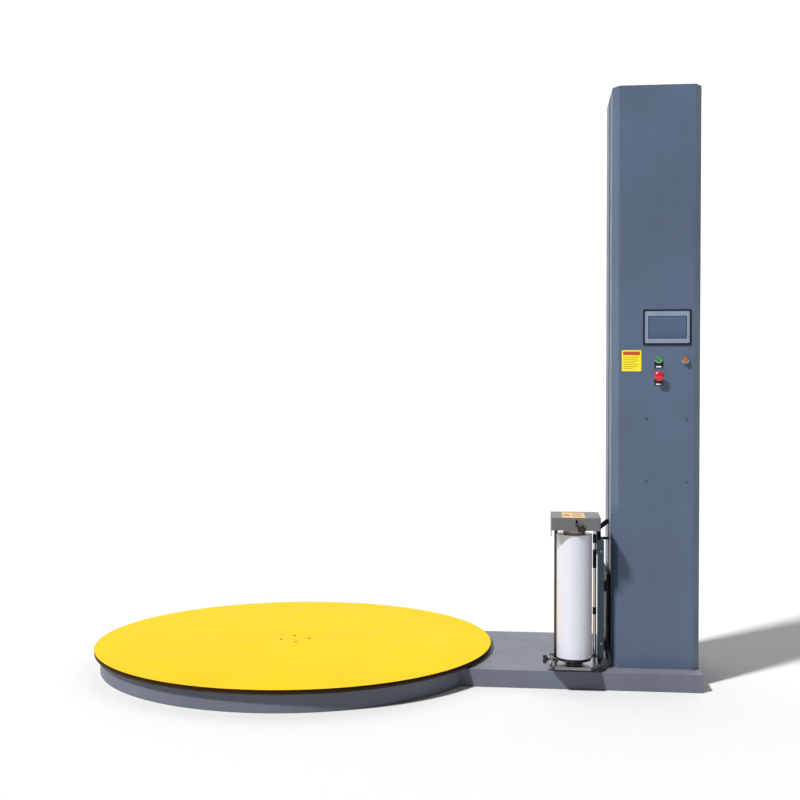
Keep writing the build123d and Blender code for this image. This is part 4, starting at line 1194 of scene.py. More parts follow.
@dataclass(frozen=True)
class ChainRun:
    """The closed path of a chain round two wheels in one plane, the near one at the origin.

    Attributes:
        near: The path's radius round the near wheel.
        far: The path's radius round the far wheel.
        distance: From wheel to wheel, along X.
    """

    near: float
    far: float
    distance: float

    @property
    def contact(self) -> float:
        """The angle from X at which the straight runs leave the wheels."""
        return math.acos((self.near - self.far) / self.distance)

    @property
    def straight(self) -> float:
        """Length of each straight run."""
        return math.sqrt(self.distance**2 - (self.near - self.far) ** 2)

    @property
    def length(self) -> float:
        """Length of the whole loop."""
        return 2 * self.straight + 2 * self.far * self.contact + 2 * self.near * (math.pi - self.contact)

    def point(self, run: float) -> Vector:
        """The point at a distance along the loop.

        Args:
            run: The distance from where the loop reaches the far wheel.

        Returns:
            The point, in the loop's plane.
        """
        run %= self.length
        far_arc, near_arc = 2 * self.far * self.contact, 2 * self.near * (math.pi - self.contact)
        ray = Vector((math.cos(self.contact), math.sin(self.contact), 0.0))
        if run < far_arc:
            turn = run / self.far - self.contact
            return Vector((self.distance + self.far * math.cos(turn), self.far * math.sin(turn), 0.0))
        run -= far_arc
        hub = Vector((self.distance, 0.0, 0.0))
        if run < self.straight:
            return (hub + ray * self.far).lerp(ray * self.near, run / self.straight)
        run -= self.straight
        if run < near_arc:
            turn = run / self.near + self.contact
            return Vector((self.near * math.cos(turn), self.near * math.sin(turn), 0.0))
        low = Vector((ray.x, -ray.y, 0.0))
        return (low * self.near).lerp(hub + low * self.far, (run - near_arc) / self.straight)


@dataclass(frozen=True)
class ChainLink:
    """One link of a roller chain.

    Attributes:
        pitch: From pin to pin.
        depth: Height of its plates.
        width: Its width over the plates.
    """

    pitch: float
    depth: float
    width: float

    def shape(self, outer: bool) -> bpy.types.Mesh:
        """The link's mesh about its middle: two plates, and the roller at its start.

        Args:
            outer: Whether its plates lie outside its neighbours' plates.

        Returns:
            The mesh.
        """
        link = Shape()
        half, reach = self.depth / 2, self.pitch / 2
        thick = self.width * 0.12
        outline = [(reach, -half * 0.8), (reach + half * 0.7, 0.0), (reach, half * 0.8), (0.0, half * 0.55)]
        outline += [(-x, y) for x, y in reversed(outline[:3])] + [(0.0, -half * 0.55)]
        height = self.width / 2 - (thick if outer else 2.2 * thick)
        for z in (height, -height - thick):
            link.prism(outline, Matrix.Translation((0.0, 0.0, z)), thick, ease=0.0)
        pin = Vector((-reach, 0.0, 0.0))
        span = Vector((0.0, 0.0, self.width / 2))
        link.rod(pin - span, pin + span, half * 0.32, steps=6)
        link.rod(pin - span * 0.5, pin + span * 0.5, half * 0.62, steps=8)
        mesh = bpy.data.meshes.new("link")
        link.bm.to_mesh(mesh)
        link.bm.free()
        return mesh

    def loop(self, run: ChainRun, place: Matrix) -> Shape:
        """A closed chain of these links.

        Args:
            run: The path.
            place: Where the path's plane lies.

        Returns:
            The chain's shape.
        """
        chain = Shape()
        count = 2 * round(run.length / self.pitch / 2)
        step = run.length / count
        meshes = [self.shape(True), self.shape(False)]
        for k in range(count):
            start, end = run.point(k * step), run.point((k + 1) * step)
            heading = (end - start).normalized()
            turn = Matrix.Rotation(math.atan2(heading.y, heading.x), 4, "Z")
            part = bmesh.new()
            part.from_mesh(meshes[k % 2])
            chain.take(part, place @ Matrix.Translation((start + end) / 2) @ turn)
        for mesh in meshes:
            bpy.data.meshes.remove(mesh)
        return chain


# ------------------------------------------------------------------------------ sub-assemblies
@dataclass
class SubAssembly:
    """A group of pieces that a fitter would call by one name.

    Attributes:
        nodes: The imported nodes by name.
        made: The pieces that this group added.
        dressed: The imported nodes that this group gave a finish.
    """

    nodes: Mapping[str, bpy.types.Object]
    made: list[bpy.types.Object] = field(default_factory=list, init=False)
    dressed: list[str] = field(default_factory=list, init=False)

    def build(self) -> None:
        """Makes and dresses the group's pieces."""
        raise NotImplementedError(type(self).__name__)

    def dress(self, finish: Finish, *names: str) -> None:
        """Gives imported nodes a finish.

        Args:
            finish: The finish.
            names: The nodes.
        """
        for name in names:
            for slot in self.nodes[name].material_slots:
                slot.material = finish.material()
            self.dressed.append(name)

    def add(
        self, shape: Shape, name: str, body: str, finishes: Sequence[Finish], replaces: Iterable[str] = ()
    ) -> bpy.types.Object:
        """Adds a shape as a piece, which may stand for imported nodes.

        Args:
            shape: The shape.
            name: The piece's name.
            body: The body that it rides on.
            finishes: Its finishes.
            replaces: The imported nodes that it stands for.

        Returns:
            The piece.
        """
        made = shape.piece(name, body, finishes)
        if replaces:
            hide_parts(*replaces)
        self.made.append(made)
        return made

    def report(self) -> None:
        """Logs what the group holds."""
        for made in self.made:
            LOG.info("%s: %s, %d faces", type(self).__name__, made.name, len(made.data.polygons))
        LOG.info("%s: dressed %s", type(self).__name__, ", ".join(self.dressed))


@dataclass
class RoundBase(SubAssembly):
    """The low round base with its skirt, spindle and six support rollers.

    Attributes:
        roller_radius: Radius of a support roller.
        roller_width: Its width.
        roller_bore: Radius of its bore.
        rollers: How many there are.
    """

    roller_radius: float = 26.0 * MM
    roller_width: float = 24.0 * MM
    roller_bore: float = 8.05 * MM
    rollers: int = 6

    def build(self) -> None:
        """Dresses the base and makes the rollers and the skirt's weld beads."""
        self.dress(BEAM_COAT, "floor_plate", "base_skirt")
        self.dress(FRAME_COAT, "frame_ribs")
        self.dress(ZINC, "roller_brackets")
        self.dress(RAIL_STEEL, "centre_spindle")
        for number in range(1, self.rollers + 1):
            self.roller(f"support_roller_{number}")
        self.welds()

    def roller(self, node: str) -> None:
        """A crowned tyre on a turned hub, with a shielded bearing on each side.

        Args:
            node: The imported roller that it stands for, and its body's name.
        """
        span = Span.of(node)
        centre = span.centre
        place = facing(centre, (centre.x, centre.y, 0.0))
        radius, half, bore = self.roller_radius, self.roller_width / 2, self.roller_bore
        hub = radius * 0.66
        tread = [
            (hub, -half * 0.92), (radius * 0.93, -half), (radius * 0.985, -half * 0.7), (radius, 0.0),
            (radius * 0.985, half * 0.7), (radius * 0.93, half), (hub, half * 0.92),
        ]
        wheel = Shape().turned(tread, place, 48, closed=True, ease=0.0006)
        seat = bore * 1.75
        core = [(seat, -half * 0.8), (hub, -half * 0.86), (hub, half * 0.86), (seat, half * 0.8)]
        wheel.turned(core, place, 48, closed=True, ease=0.0004, skin=1)
        race = [(bore, -half * 0.72), (seat, -half * 0.66), (seat, half * 0.66), (bore, half * 0.72)]
        wheel.turned(race, place, 48, closed=True, ease=0.0004, skin=2)
        self.add(wheel, f"roller_{node[-1]}", node, [TYRE, MODULE_PALE, ZINC], [node])

    def welds(self) -> None:
        """The beads that join the beam's two channels to the skirt."""
        beads = Shape()
        for node, side in (("beam_front_channel", -1), ("beam_rear_channel", 1)):
            span = Span.of(node)
            edge = span.low.y if side < 0 else span.high.y
            foot = Vector((span.low.x - 0.5 * MM, edge - side * 1.0 * MM, span.low.z + MM))
            top = Vector((foot.x, foot.y, Span.of("base_skirt").high.z - 2 * MM))
            beads.bead(foot, top, 3.0 * MM, 9)
        self.add(beads, "skirt_weld_beads", "base", [BEAM_COAT])


@dataclass
class Turntable(SubAssembly):
    """The turning plate with its hanging rim, hub, chain wheel and flush bolts.

    Attributes:
        bolt_radius: Radius of a bolt's head.
        shank: Length of the plain part under it.
        head_height: From the head's seat to the plate's top.
    """

    bolt_radius: float = 8.6 * MM
    shank: float = 5.2 * MM
    head_height: float = 5.4 * MM

    def build(self) -> None:
        """Dresses the plate and makes its four flush bolts."""
        self.dress(TABLE_COAT, "turntable_plate")
        self.dress(RIM_COAT, "turntable_rim")
        self.dress(FRAME_COAT, "turntable_hub")
        self.dress(CHAIN_STEEL, "turntable_sprocket")
        bolts = Shape()
        for span in solids_of(self.nodes["table_bolts"]):
            seat = (span.centre.x, span.centre.y, span.low.z)
            bolts.disc(self.bolt_radius, 0.0, self.shank, facing(seat, UP), 32, 0.0003)
            top = (seat[0], seat[1], span.high.z - self.head_height)
            bolts.screw(Head.SOCKET, top, UP, self.bolt_radius)
        self.add(bolts, "flush_bolts", "turntable", [BLACK_COAT_AND_SHADE], ["table_bolts"])


@dataclass
class Beam(SubAssembly):
    """The low beam between the round base and the mast."""

    def build(self) -> None:
        """Dresses the sheets and makes the cover's screws and the cable grommet."""
        self.dress(BEAM_COAT, "beam_front_channel", "beam_rear_channel", "beam_cover", "mast_base_plate")
        screws = Shape()
        for span in solids_of(self.nodes["beam_cover_screws"]):
            at = (span.centre.x, span.centre.y, span.low.z)
            radius = span.size.x / 2
            screws.disc(radius * 0.97, 0.0, 1.2 * MM, facing(at, UP), 24, 0.0001)
            screws.screw(Head.SOCKET, (at[0], at[1], span.high.z - radius * 0.55), UP, radius * 0.95)
        self.add(screws, "cover_screws", "base", [ZINC], ["beam_cover_screws"])
        self.grommet()

    def grommet(self) -> None:
        """The rubber grommet in the beam's end, where the mains cable goes in."""
        end = Span.of("mast_base_plate")
        at = (end.high.x - 4.5 * MM, end.high.y - 60 * MM, 32 * MM)
        hole = 9 * MM
        ring = [
            (hole * 0.62, 0.0), (hole * 1.35, 0.0), (hole * 1.35, 1.4 * MM), (hole * 0.97, 1.6 * MM),
            (hole * 0.97, 4.4 * MM), (hole * 1.3, 4.6 * MM), (hole * 1.2, 6.0 * MM), (hole * 0.62, 6.2 * MM),
        ]
        self.add(Shape().turned(ring, facing(at, RIGHT), 40, closed=True), "cable_grommet", "base", [RUBBER])


@dataclass
class Mast(SubAssembly):
    """The upright mast with its guide rails and rear door.

    Attributes:
        screw_radius: Radius of the panel screws' heads.
        louvre: Length, height and depth of one of the door's louvres.
        louvres_in_row: How many louvres stand in each group.
        chamfer: The front corners' cut, along X and Y.
        latch_height: Where the door's latch stands.
    """

    screw_radius: float = 3.6 * MM
    louvre: tuple[float, float, float] = (150 * MM, 11 * MM, 4.5 * MM)
    louvres_in_row: int = 7
    chamfer: tuple[float, float] = (25 * MM, 41 * MM)
    latch_height: float = 800 * MM

    def build(self) -> None:
        """Dresses the sheets and makes the screws, hinges, latch, door seal, louvres and welds."""
        self.dress(MAST_COAT, "mast_front_panel", "mast_left_cheeks", "mast_right_panel", "mast_rear_panels")
        self.dress(MAST_COAT, "mast_top_cap", "rear_door")
        self.dress(RAIL_STEEL, "guide_rails")
        self.hinges()
        self.latch()
        self.seal()
        self.louvres()
        self.panel_screws()
        self.foot_welds()

    def hinges(self) -> None:
        """The fixed halves of the hinges with their pins' domed ends."""
        pieces = Shape()
        knuckles = [s for s in solids_of(self.nodes["door_hinge_pins"]) if s.size.x > 8 * MM]
        for span in knuckles:
            radius = span.size.y / 2
            x, y = span.low.x + radius, span.centre.y
            barrel = [(3.0 * MM, 0.0), (radius, 0.0), (radius, span.size.z), (3.0 * MM, span.size.z)]
            pieces.turned(barrel, facing((x, y, span.low.z), UP), 32, closed=True, ease=0.0004)
            leaf = Span(Vector((x + radius * 0.6, span.low.y, span.low.z)), span.high)
            pieces.block(leaf, ease=0.0006)
            low, high = span.low.z, span.high.z + 30 * MM
            pin = [(0.0, 0.0), (2.2 * MM, 0.3 * MM), (2.95 * MM, 1.2 * MM)]
            pin += [(r, high - low - z) for r, z in reversed(pin)]
            pieces.turned(pin, facing((x, y, low), UP), 24, skin=1)
        self.add(pieces, "hinge_halves", "base", [BLACK_COAT_AND_SHADE, ZINC], ["door_hinge_pins"])

    def latch(self) -> None:
        """The quarter-turn lock: escutcheon, finger bar and the cam inside."""
        span = Span.of("door_latch")
        face = Span.of("mast_rear_panels").high.y
        x, z = span.high.x - 13 * MM, self.latch_height
        lock = Shape()
        boss = [(0.0, -14 * MM), (10.8 * MM, -14 * MM), (10.8 * MM, 0.4 * MM), (12.8 * MM, 0.4 * MM)]
        boss += [(12.8 * MM, 2.6 * MM), (11.4 * MM, 3.8 * MM), (0.0, 4.0 * MM)]
        lock.turned(boss, facing((x, face, z), BACK), 48, ease=0.0003)
        grip = Span.between(
            (x - 3 * MM, face + 3.4 * MM, z - 12 * MM), (x + 3 * MM, face + 12 * MM, z + 12 * MM)
        )
        lock.block(grip, ease=0.0014)
        cam = Span.between(
            (x - 7 * MM, face - 14.8 * MM, z - 34 * MM), (x + 7 * MM, face - 12.2 * MM, z + 7 * MM)
        )
        lock.block(cam, ease=0.0004, corner=0.004, way=1, skin=1)
        lock.screw(Head.HEXAGON, (x, face - 14.6 * MM, z), FRONT, 0.0042, skin=1)
        self.add(lock, "quarter_turn_lock", "door_latch", [BLACK_PLASTIC, ZINC], ["door_latch"])

    def seal(self) -> None:
        """The foam strip round the inside of the door."""
        door = Span.of("rear_door")
        back = Span.of("mast_rear_panels").high.y - 3 * MM
        strip = Shape()
        x0, x1, z0, z1 = door.low.x + 4 * MM, door.low.x + 12 * MM, door.low.z + 4 * MM, door.high.z - 4 * MM
        right = Span.of("mast_right_panel").low.x - 5 * MM
        for low, high in (
            ((x0, z0), (x1, z1)), ((right - 8 * MM, z0), (right, z1)),
            ((x1, z0), (right - 8 * MM, z0 + 8 * MM)), ((x1, z1 - 8 * MM), (right - 8 * MM, z1)),
        ):
            span = Span.between((low[0], back - 3 * MM, low[1]), (high[0], back, high[1]))
            strip.block(span, ease=0.001)
        self.add(strip, "door_foam_seal", "rear_door", [RUBBER])

    def louvres(self) -> None:
        """Two rows of pressed cooling louvres in the rear door, low down and high up."""
        door = Span.of("rear_door")
        face = Span.of("mast_rear_panels").high.y - 0.2 * MM
        length, rise, proud = self.louvre
        middle = Span.of("mast_rear_panels").centre.x
        wedge = [(0.0, 0.0), (proud, 0.0), (proud * 0.92, rise * 0.16)]
        wedge += [(proud * 0.3, rise * 0.82), (0.0, rise)]
        rows = Shape()
        for foot in (door.low.z + 60 * MM, door.high.z - 190 * MM):
            for k in range(self.louvres_in_row):
                z = foot + 1.7 * rise * k
                place = Matrix(((0, 0, 1, middle - length / 2), (1, 0, 0, face), (0, 1, 0, z), (0, 0, 0, 1)))
                rows.prism(wedge, place, length, ease=0.0006)
                gap = Span.between((middle - length / 2 + 2 * MM, face - 0.1 * MM, z - 1.6 * MM),
                           (middle + length / 2 - 2 * MM, face + 0.35 * MM, z - 0.1 * MM))
                rows.block(gap, ease=0.0001, skin=1)
        self.add(rows, "door_louvres", "rear_door", [MAST_COAT, RUBBER])

    def foot_welds(self) -> None:
        """The fillet welds that join the mast's front and chamfers to its base plate."""
        front = Span.of("mast_front_panel")
        left, right = Span.of("mast_left_cheeks").low.x, Span.of("mast_right_panel").high.x
        z = Span.of("beam_front_channel").high.z
        across, back = self.chamfer
        corners = [
            Vector((left, front.low.y + back, z)), Vector((left + across, front.low.y, z)),
            Vector((right - across, front.low.y, z)), Vector((right, front.low.y + back, z)),
        ]
        beads = Shape()
        for start, end in zip(corners, corners[1:]):
            beads.bead(start, end, 2.2 * MM, max(4, int((end - start).length / (9 * MM))))
        self.add(beads, "mast_foot_welds", "base", [BEAM_COAT])

    def panel_screws(self) -> None:
        """The heads on the front panel that hold the control plate's spacers."""
        heads = Shape()
        front = Span.of("mast_front_panel").low.y
        for span in solids_of(self.nodes["control_modules"]):
            if max(span.size.x, span.size.z) < 12 * MM:
                at = (span.centre.x, front, span.centre.z)
                heads.screw(Head.SOCKET, at, FRONT, self.screw_radius)
        self.add(heads, "panel_screws", "base", [CHAIN_STEEL])


@dataclass
class Controls(SubAssembly):
    """The touch panel, the two buttons and the lamp, their plates, and the modules behind.

    Attributes:
        gasket_border: How far the panel's gasket shows round its bezel.
        label: Width and height of the operating label.
        label_place: Its left side from the mast's side, and its top above the lamp.
        label_lines: Length of each line on it, as a share of its width.
        legend: Width and height of a button's name plate.
        terminals: How many terminals stand in the row.
        front: Where the mast's front face is, once the frame is read.
    """

    gasket_border: float = 8.0 * MM
    label: tuple[float, float] = (74 * MM, 81 * MM)
    label_place: tuple[float, float] = (37 * MM, 26 * MM)
    label_lines: tuple[float, ...] = (0.80, 0.72, 0.78, 0.55, 0.80, 0.68, 0.42)
    legend: tuple[float, float] = (33 * MM, 28 * MM)
    terminals: int = 14
    front: float = field(default=0.0, init=False)

    def build(self) -> None:
        """Makes every control."""
        self.front = Span.of("mast_front_panel").low.y
        self.touch_panel()
        self.collars()
        self.buttons()
        self.lamp()
        self.legends()
        self.operating_label()
        self.modules()

    def plate(self, x0: float, x1: float, z0: float, z1: float, back: float, thick: float) -> Span:
        """The box of a flat plate on the front panel.

        Args:
            x0: Its left side.
            x1: Its right side.
            z0: Its bottom.
            z1: Its top.
            back: How far its back stands in front of the panel.
            thick: Its thickness.

        Returns:
            The box.
        """
        return Span.between((x0, self.front - back - thick, z0), (x1, self.front - back, z1))

    def touch_panel(self) -> None:
        """The stepped bezel, the gasket round it and the screen in it."""
        bezel, screen = Span.of("hmi_bezel"), Span.of("hmi_screen")
        b = self.gasket_border
        rim = bezel.slab(-b, self.front - 3.2 * MM, self.front)
        gasket = Shape().dished(rim, FRONT, [(b - MM, 0.0), (0.2 * MM, MM)], 0.0007, 0.004)
        self.add(gasket, "panel_seal", "base", [GASKET])
        shell = Shape()
        face = bezel.slab(0.0, bezel.low.y, self.front - 2.2 * MM)
        side = (bezel.size.x - screen.size.x) / 2 - 1.5 * MM
        lip = (bezel.size.z - screen.size.z) / 2 - 1.5 * MM
        steps = [(min(side, lip) * 0.55, 0.0), (1.2 * MM, 0.9 * MM)]
        shell.dished(face, FRONT, steps, 0.0006, 0.005)
        case = bezel.slab(8 * MM, self.front - 2.2 * MM, bezel.high.y)
        shell.dished(case, BACK, [(12 * MM, 0.0), (0.6 * MM, 2 * MM)], 0.001, 0.003, skin=1)
        self.add(shell, "touch_panel_shell", "base", [BEZEL, MODULE_DARK], ["hmi_bezel"])
        depth = bezel.low.y
        edge = screen.slab(-2.4 * MM, depth - 0.2 * MM, depth + 1.6 * MM)
        surround = Shape().dished(edge, FRONT, [(2.2 * MM, 0.0), (0.2 * MM, 0.8 * MM)], 0.0003, 0.0015)
        self.add(surround, "screen_surround", "base", [GASKET])
        pane = screen.slab(0.0, depth + 0.1 * MM, depth + 1.2 * MM)
        glass = Shape().dished(pane, FRONT, [(1.5 * MM, 0.0)], 0.0002, 0.001)
        self.add(glass, "screen_pane", "base", [SCREEN], ["hmi_screen"])

    def collars(self) -> None:
        """The chrome rings of the buttons and the lamp, with their nuts behind the panel."""
        rings = Shape()
        for span in solids_of(self.nodes["button_collars"]):
            place = facing((span.centre.x, self.front, span.centre.z), FRONT)
            r, bore = span.size.x / 2, 11.2 * MM
            ring = [
                (bore, 0.0), (r, 0.0), (r, 1.8 * MM), (r * 0.96, 2.2 * MM), (r * 0.96, 2.8 * MM),
                (r * 0.99, 3.2 * MM), (r * 0.93, 5.6 * MM), (bore * 1.06, 6.0 * MM), (bore, 5.2 * MM),
            ]
            rings.turned(ring, place, 56, closed=True)
        self.add(rings, "control_collars", "base", [CHROME], ["button_collars"])

    def buttons(self) -> None:
        """The green start button's dished cap and the red mushroom."""
        start, stop = Span.of("start_button"), Span.of("stop_button")
        r, reach = start.size.x / 2, start.size.y
        cap = [(0.0, 0.0), (r, 0.0), (r, reach - 1.2 * MM), (r * 0.93, reach), (r * 0.8, reach - 0.1 * MM)]
        cap += [(r * 0.4, reach - 0.9 * MM), (0.0, reach - 1.1 * MM)]
        place = facing((start.centre.x, start.high.y, start.centre.z), FRONT)
        self.add(Shape().turned(cap, place, 48), "start_cap", "start_button", [GREEN], ["start_button"])
        r, reach = stop.size.x / 2, stop.size.y
        stem = 10.9 * MM
        head = [(0.0, 0.0), (stem, 0.0), (stem, reach - 13 * MM), (r * 0.86, reach - 12.6 * MM)]
        head += [(r * 0.97, reach - 11.4 * MM), (r, reach - 9 * MM)]
        dome = 8 * MM
        for turn in (0.2, 0.45, 0.75, 1.05, 1.3):
            head.append((r * math.cos(turn), reach - dome + dome * math.sin(turn)))
        head.append((0.0, reach))
        place = facing((stop.centre.x, stop.high.y, stop.centre.z), FRONT)
        self.add(Shape().turned(head, place, 56), "stop_mushroom", "stop_button", [RED], ["stop_button"])

    def lamp(self) -> None:
        """The amber lens with its moulded rings."""
        span = Span.of("pilot_lamp")
        r, reach = span.size.x / 2, span.size.y
        lens = [(0.0, 0.0), (r * 0.99, 0.0), (r * 0.99, reach - 10 * MM)]
        for k in range(4):
            z = reach - (9.4 - 1.4 * k) * MM
            lens += [(r * 0.99, z), (r * 0.99, z + 0.8 * MM), (r * 0.94, z + 1.1 * MM)]
        lens += [(r * 0.86, reach - 2.2 * MM), (r * 0.6, reach - 0.7 * MM), (0.0, reach)]
        place = facing((span.centre.x, span.high.y, span.centre.z), FRONT)
        self.add(Shape().turned(lens, place, 56), "lamp_lens", "base", [AMBER], ["pilot_lamp"])

    def legends(self) -> None:
        """The black name plates under the two buttons, each with a plain white bar."""
        plates = Shape()
        width, height = self.legend
        for node in ("start_button", "stop_button"):
            span = Span.of(node)
            x, top = span.centre.x, span.centre.z - (6 if node == "start_button" else 8) * MM
            spot = self.plate(x - width / 2, x + width / 2, top - height, top, 0.0, 1.1 * MM)
            plates.block(spot, ease=0.0003, corner=0.003, way=1)
            low, high = top - height * 0.9, top - height * 0.72
            bar = self.plate(x - width * 0.3, x + width * 0.3, low, high, 1.0 * MM, 0.4 * MM)
            plates.block(bar, ease=0.0001, skin=1)
        self.add(plates, "button_plates", "base", [BLACK_PLASTIC, LEGEND_WHITE])

    def operating_label(self) -> None:
        """The yellow operating label: an orange heading and plain bars for its lines."""
        width, height = self.label
        left = Span.of("mast_front_panel").low.x + self.label_place[0]
        top = Span.of("pilot_lamp").high.z + self.label_place[1]
        paper = self.plate(left, left + width, top - height, top, 0.0, 0.4 * MM)
        sheet = Shape().block(paper, 0.0001, 0.002, 1)
        edge, indent, back = 5 * MM, 7 * MM, 0.35 * MM
        heading = self.plate(left + edge, left + width - edge, top - 19 * MM, top - edge, back, 0.2 * MM)
        sheet.block(heading, ease=0.00005, corner=0.001, way=1, skin=1)
        for k, share in enumerate(self.label_lines):
            z = top - (27 + 7 * k) * MM
            end = left + indent + width * share
            line = self.plate(left + indent, end, z - 1.4 * MM, z, back, 0.15 * MM)
            sheet.block(line, ease=0.00003, skin=2)
        self.add(sheet, "operating_label", "base", [LABEL_YELLOW, LABEL_ORANGE, LABEL_INK])

    def modules(self) -> None:
        """The mounting plate behind the panel with its drive, controller, relays and terminals."""
        spans = solids_of(self.nodes["control_modules"])
        drive, controller = spans[0], spans[1]
        rest = sorted(spans[2:], key=lambda s: -s.size.x * s.size.z)
        plate, terminals, relays = rest[0], rest[1], rest[2:5]
        spacers = [s for s in rest[5:] if max(s.size.x, s.size.z) < 12 * MM]
        board = Shape().block(plate, ease=0.0003, corner=0.004, way=1)
        for span in spacers:
            board.rod(Vector((span.centre.x, span.low.y, span.centre.z)),
                      Vector((span.centre.x, span.high.y, span.centre.z)), span.size.x / 2, 0.0004, 6, 1)
        self.add(board, "control_plate", "base", [ZINC, NYLON], ["control_modules"])
        self.cased_unit(drive, "drive_unit", MODULE_DARK)
        self.cased_unit(controller, "controller_unit", MODULE_PALE)
        sockets = Shape()
        for span in relays:
            sockets.dished(span, BACK, [(2 * MM, 0.0), (0.3 * MM, 3 * MM)], 0.0006, inner_skin=1)
        self.add(sockets, "relay_row", "base", [MODULE_PALE, AMBER])
        self.terminal_row(terminals)

    def cased_unit(self, span: Span, name: str, finish: Finish) -> None:
        """An electronic unit: a case with a stepped lid, cooling slots and a small display.

        Args:
            span: Its box.
            name: Its name.
            finish: The finish of its case.
        """
        unit = Shape()
        body = Span(span.low, Vector((span.high.x, span.high.y - 6 * MM, span.high.z)))
        unit.block(body, ease=0.001)
        lid = Span.between(
            (span.low.x + 2 * MM, body.high.y - 0.2 * MM, span.low.z + 10 * MM),
            (span.high.x - 2 * MM, span.high.y, span.high.z - 8 * MM),
        )
        unit.dished(lid, BACK, [(4 * MM, 0.0), (0.5 * MM, 1.0 * MM)], 0.0008, 0.002)
        window = Span.between(
            (lid.low.x + 9 * MM, span.high.y - 1.2 * MM, lid.high.z - 26 * MM),
            (lid.high.x - 9 * MM, span.high.y - 0.4 * MM, lid.high.z - 10 * MM),
        )
        unit.block(window, ease=0.0002, skin=1)
        for k in range(7):
            z = lid.low.z + (9 + 5 * k) * MM
            slot = Span.between(
                (lid.low.x + 8 * MM, span.high.y - 1.2 * MM, z),
                (lid.high.x - 8 * MM, span.high.y - 0.3 * MM, z + 2 * MM),
            )
            unit.block(slot, ease=0.0003, skin=2)
        self.add(unit, name, "base", [finish, SCREEN, BLACK_PLASTIC])

    def terminal_row(self, span: Span) -> None:
        """A row of terminal blocks on their rail, each with its screw.

        Args:
            span: The row's box.
        """
        row = Shape()
        rail = Span.between(
            (span.low.x, span.low.y, span.centre.z - 12 * MM),
            (span.high.x, span.low.y + 6 * MM, span.centre.z + 12 * MM),
        )
        row.block(rail, ease=0.0006, skin=1)
        pitch = span.size.x / self.terminals
        for k in range(self.terminals):
            x = span.low.x + pitch * k
            block = Span.between(
                (x + 0.3 * MM, span.low.y + 5 * MM, span.low.z),
                (x + pitch - 0.3 * MM, span.high.y - 1.5 * MM, span.high.z),
            )
            row.block(block, ease=0.0007, skin=2 if k % 7 == 6 else 0)
            for z in (span.low.z + 8 * MM, span.high.z - 8 * MM):
                seat = Vector((x + pitch / 2, block.high.y - MM, z))
                row.rod(seat, Vector((seat.x, span.high.y, z)), pitch * 0.27, 0.0002, 10, 1)
        self.add(row, "terminal_row", "base", [MODULE_PALE, ZINC, TERMINAL])


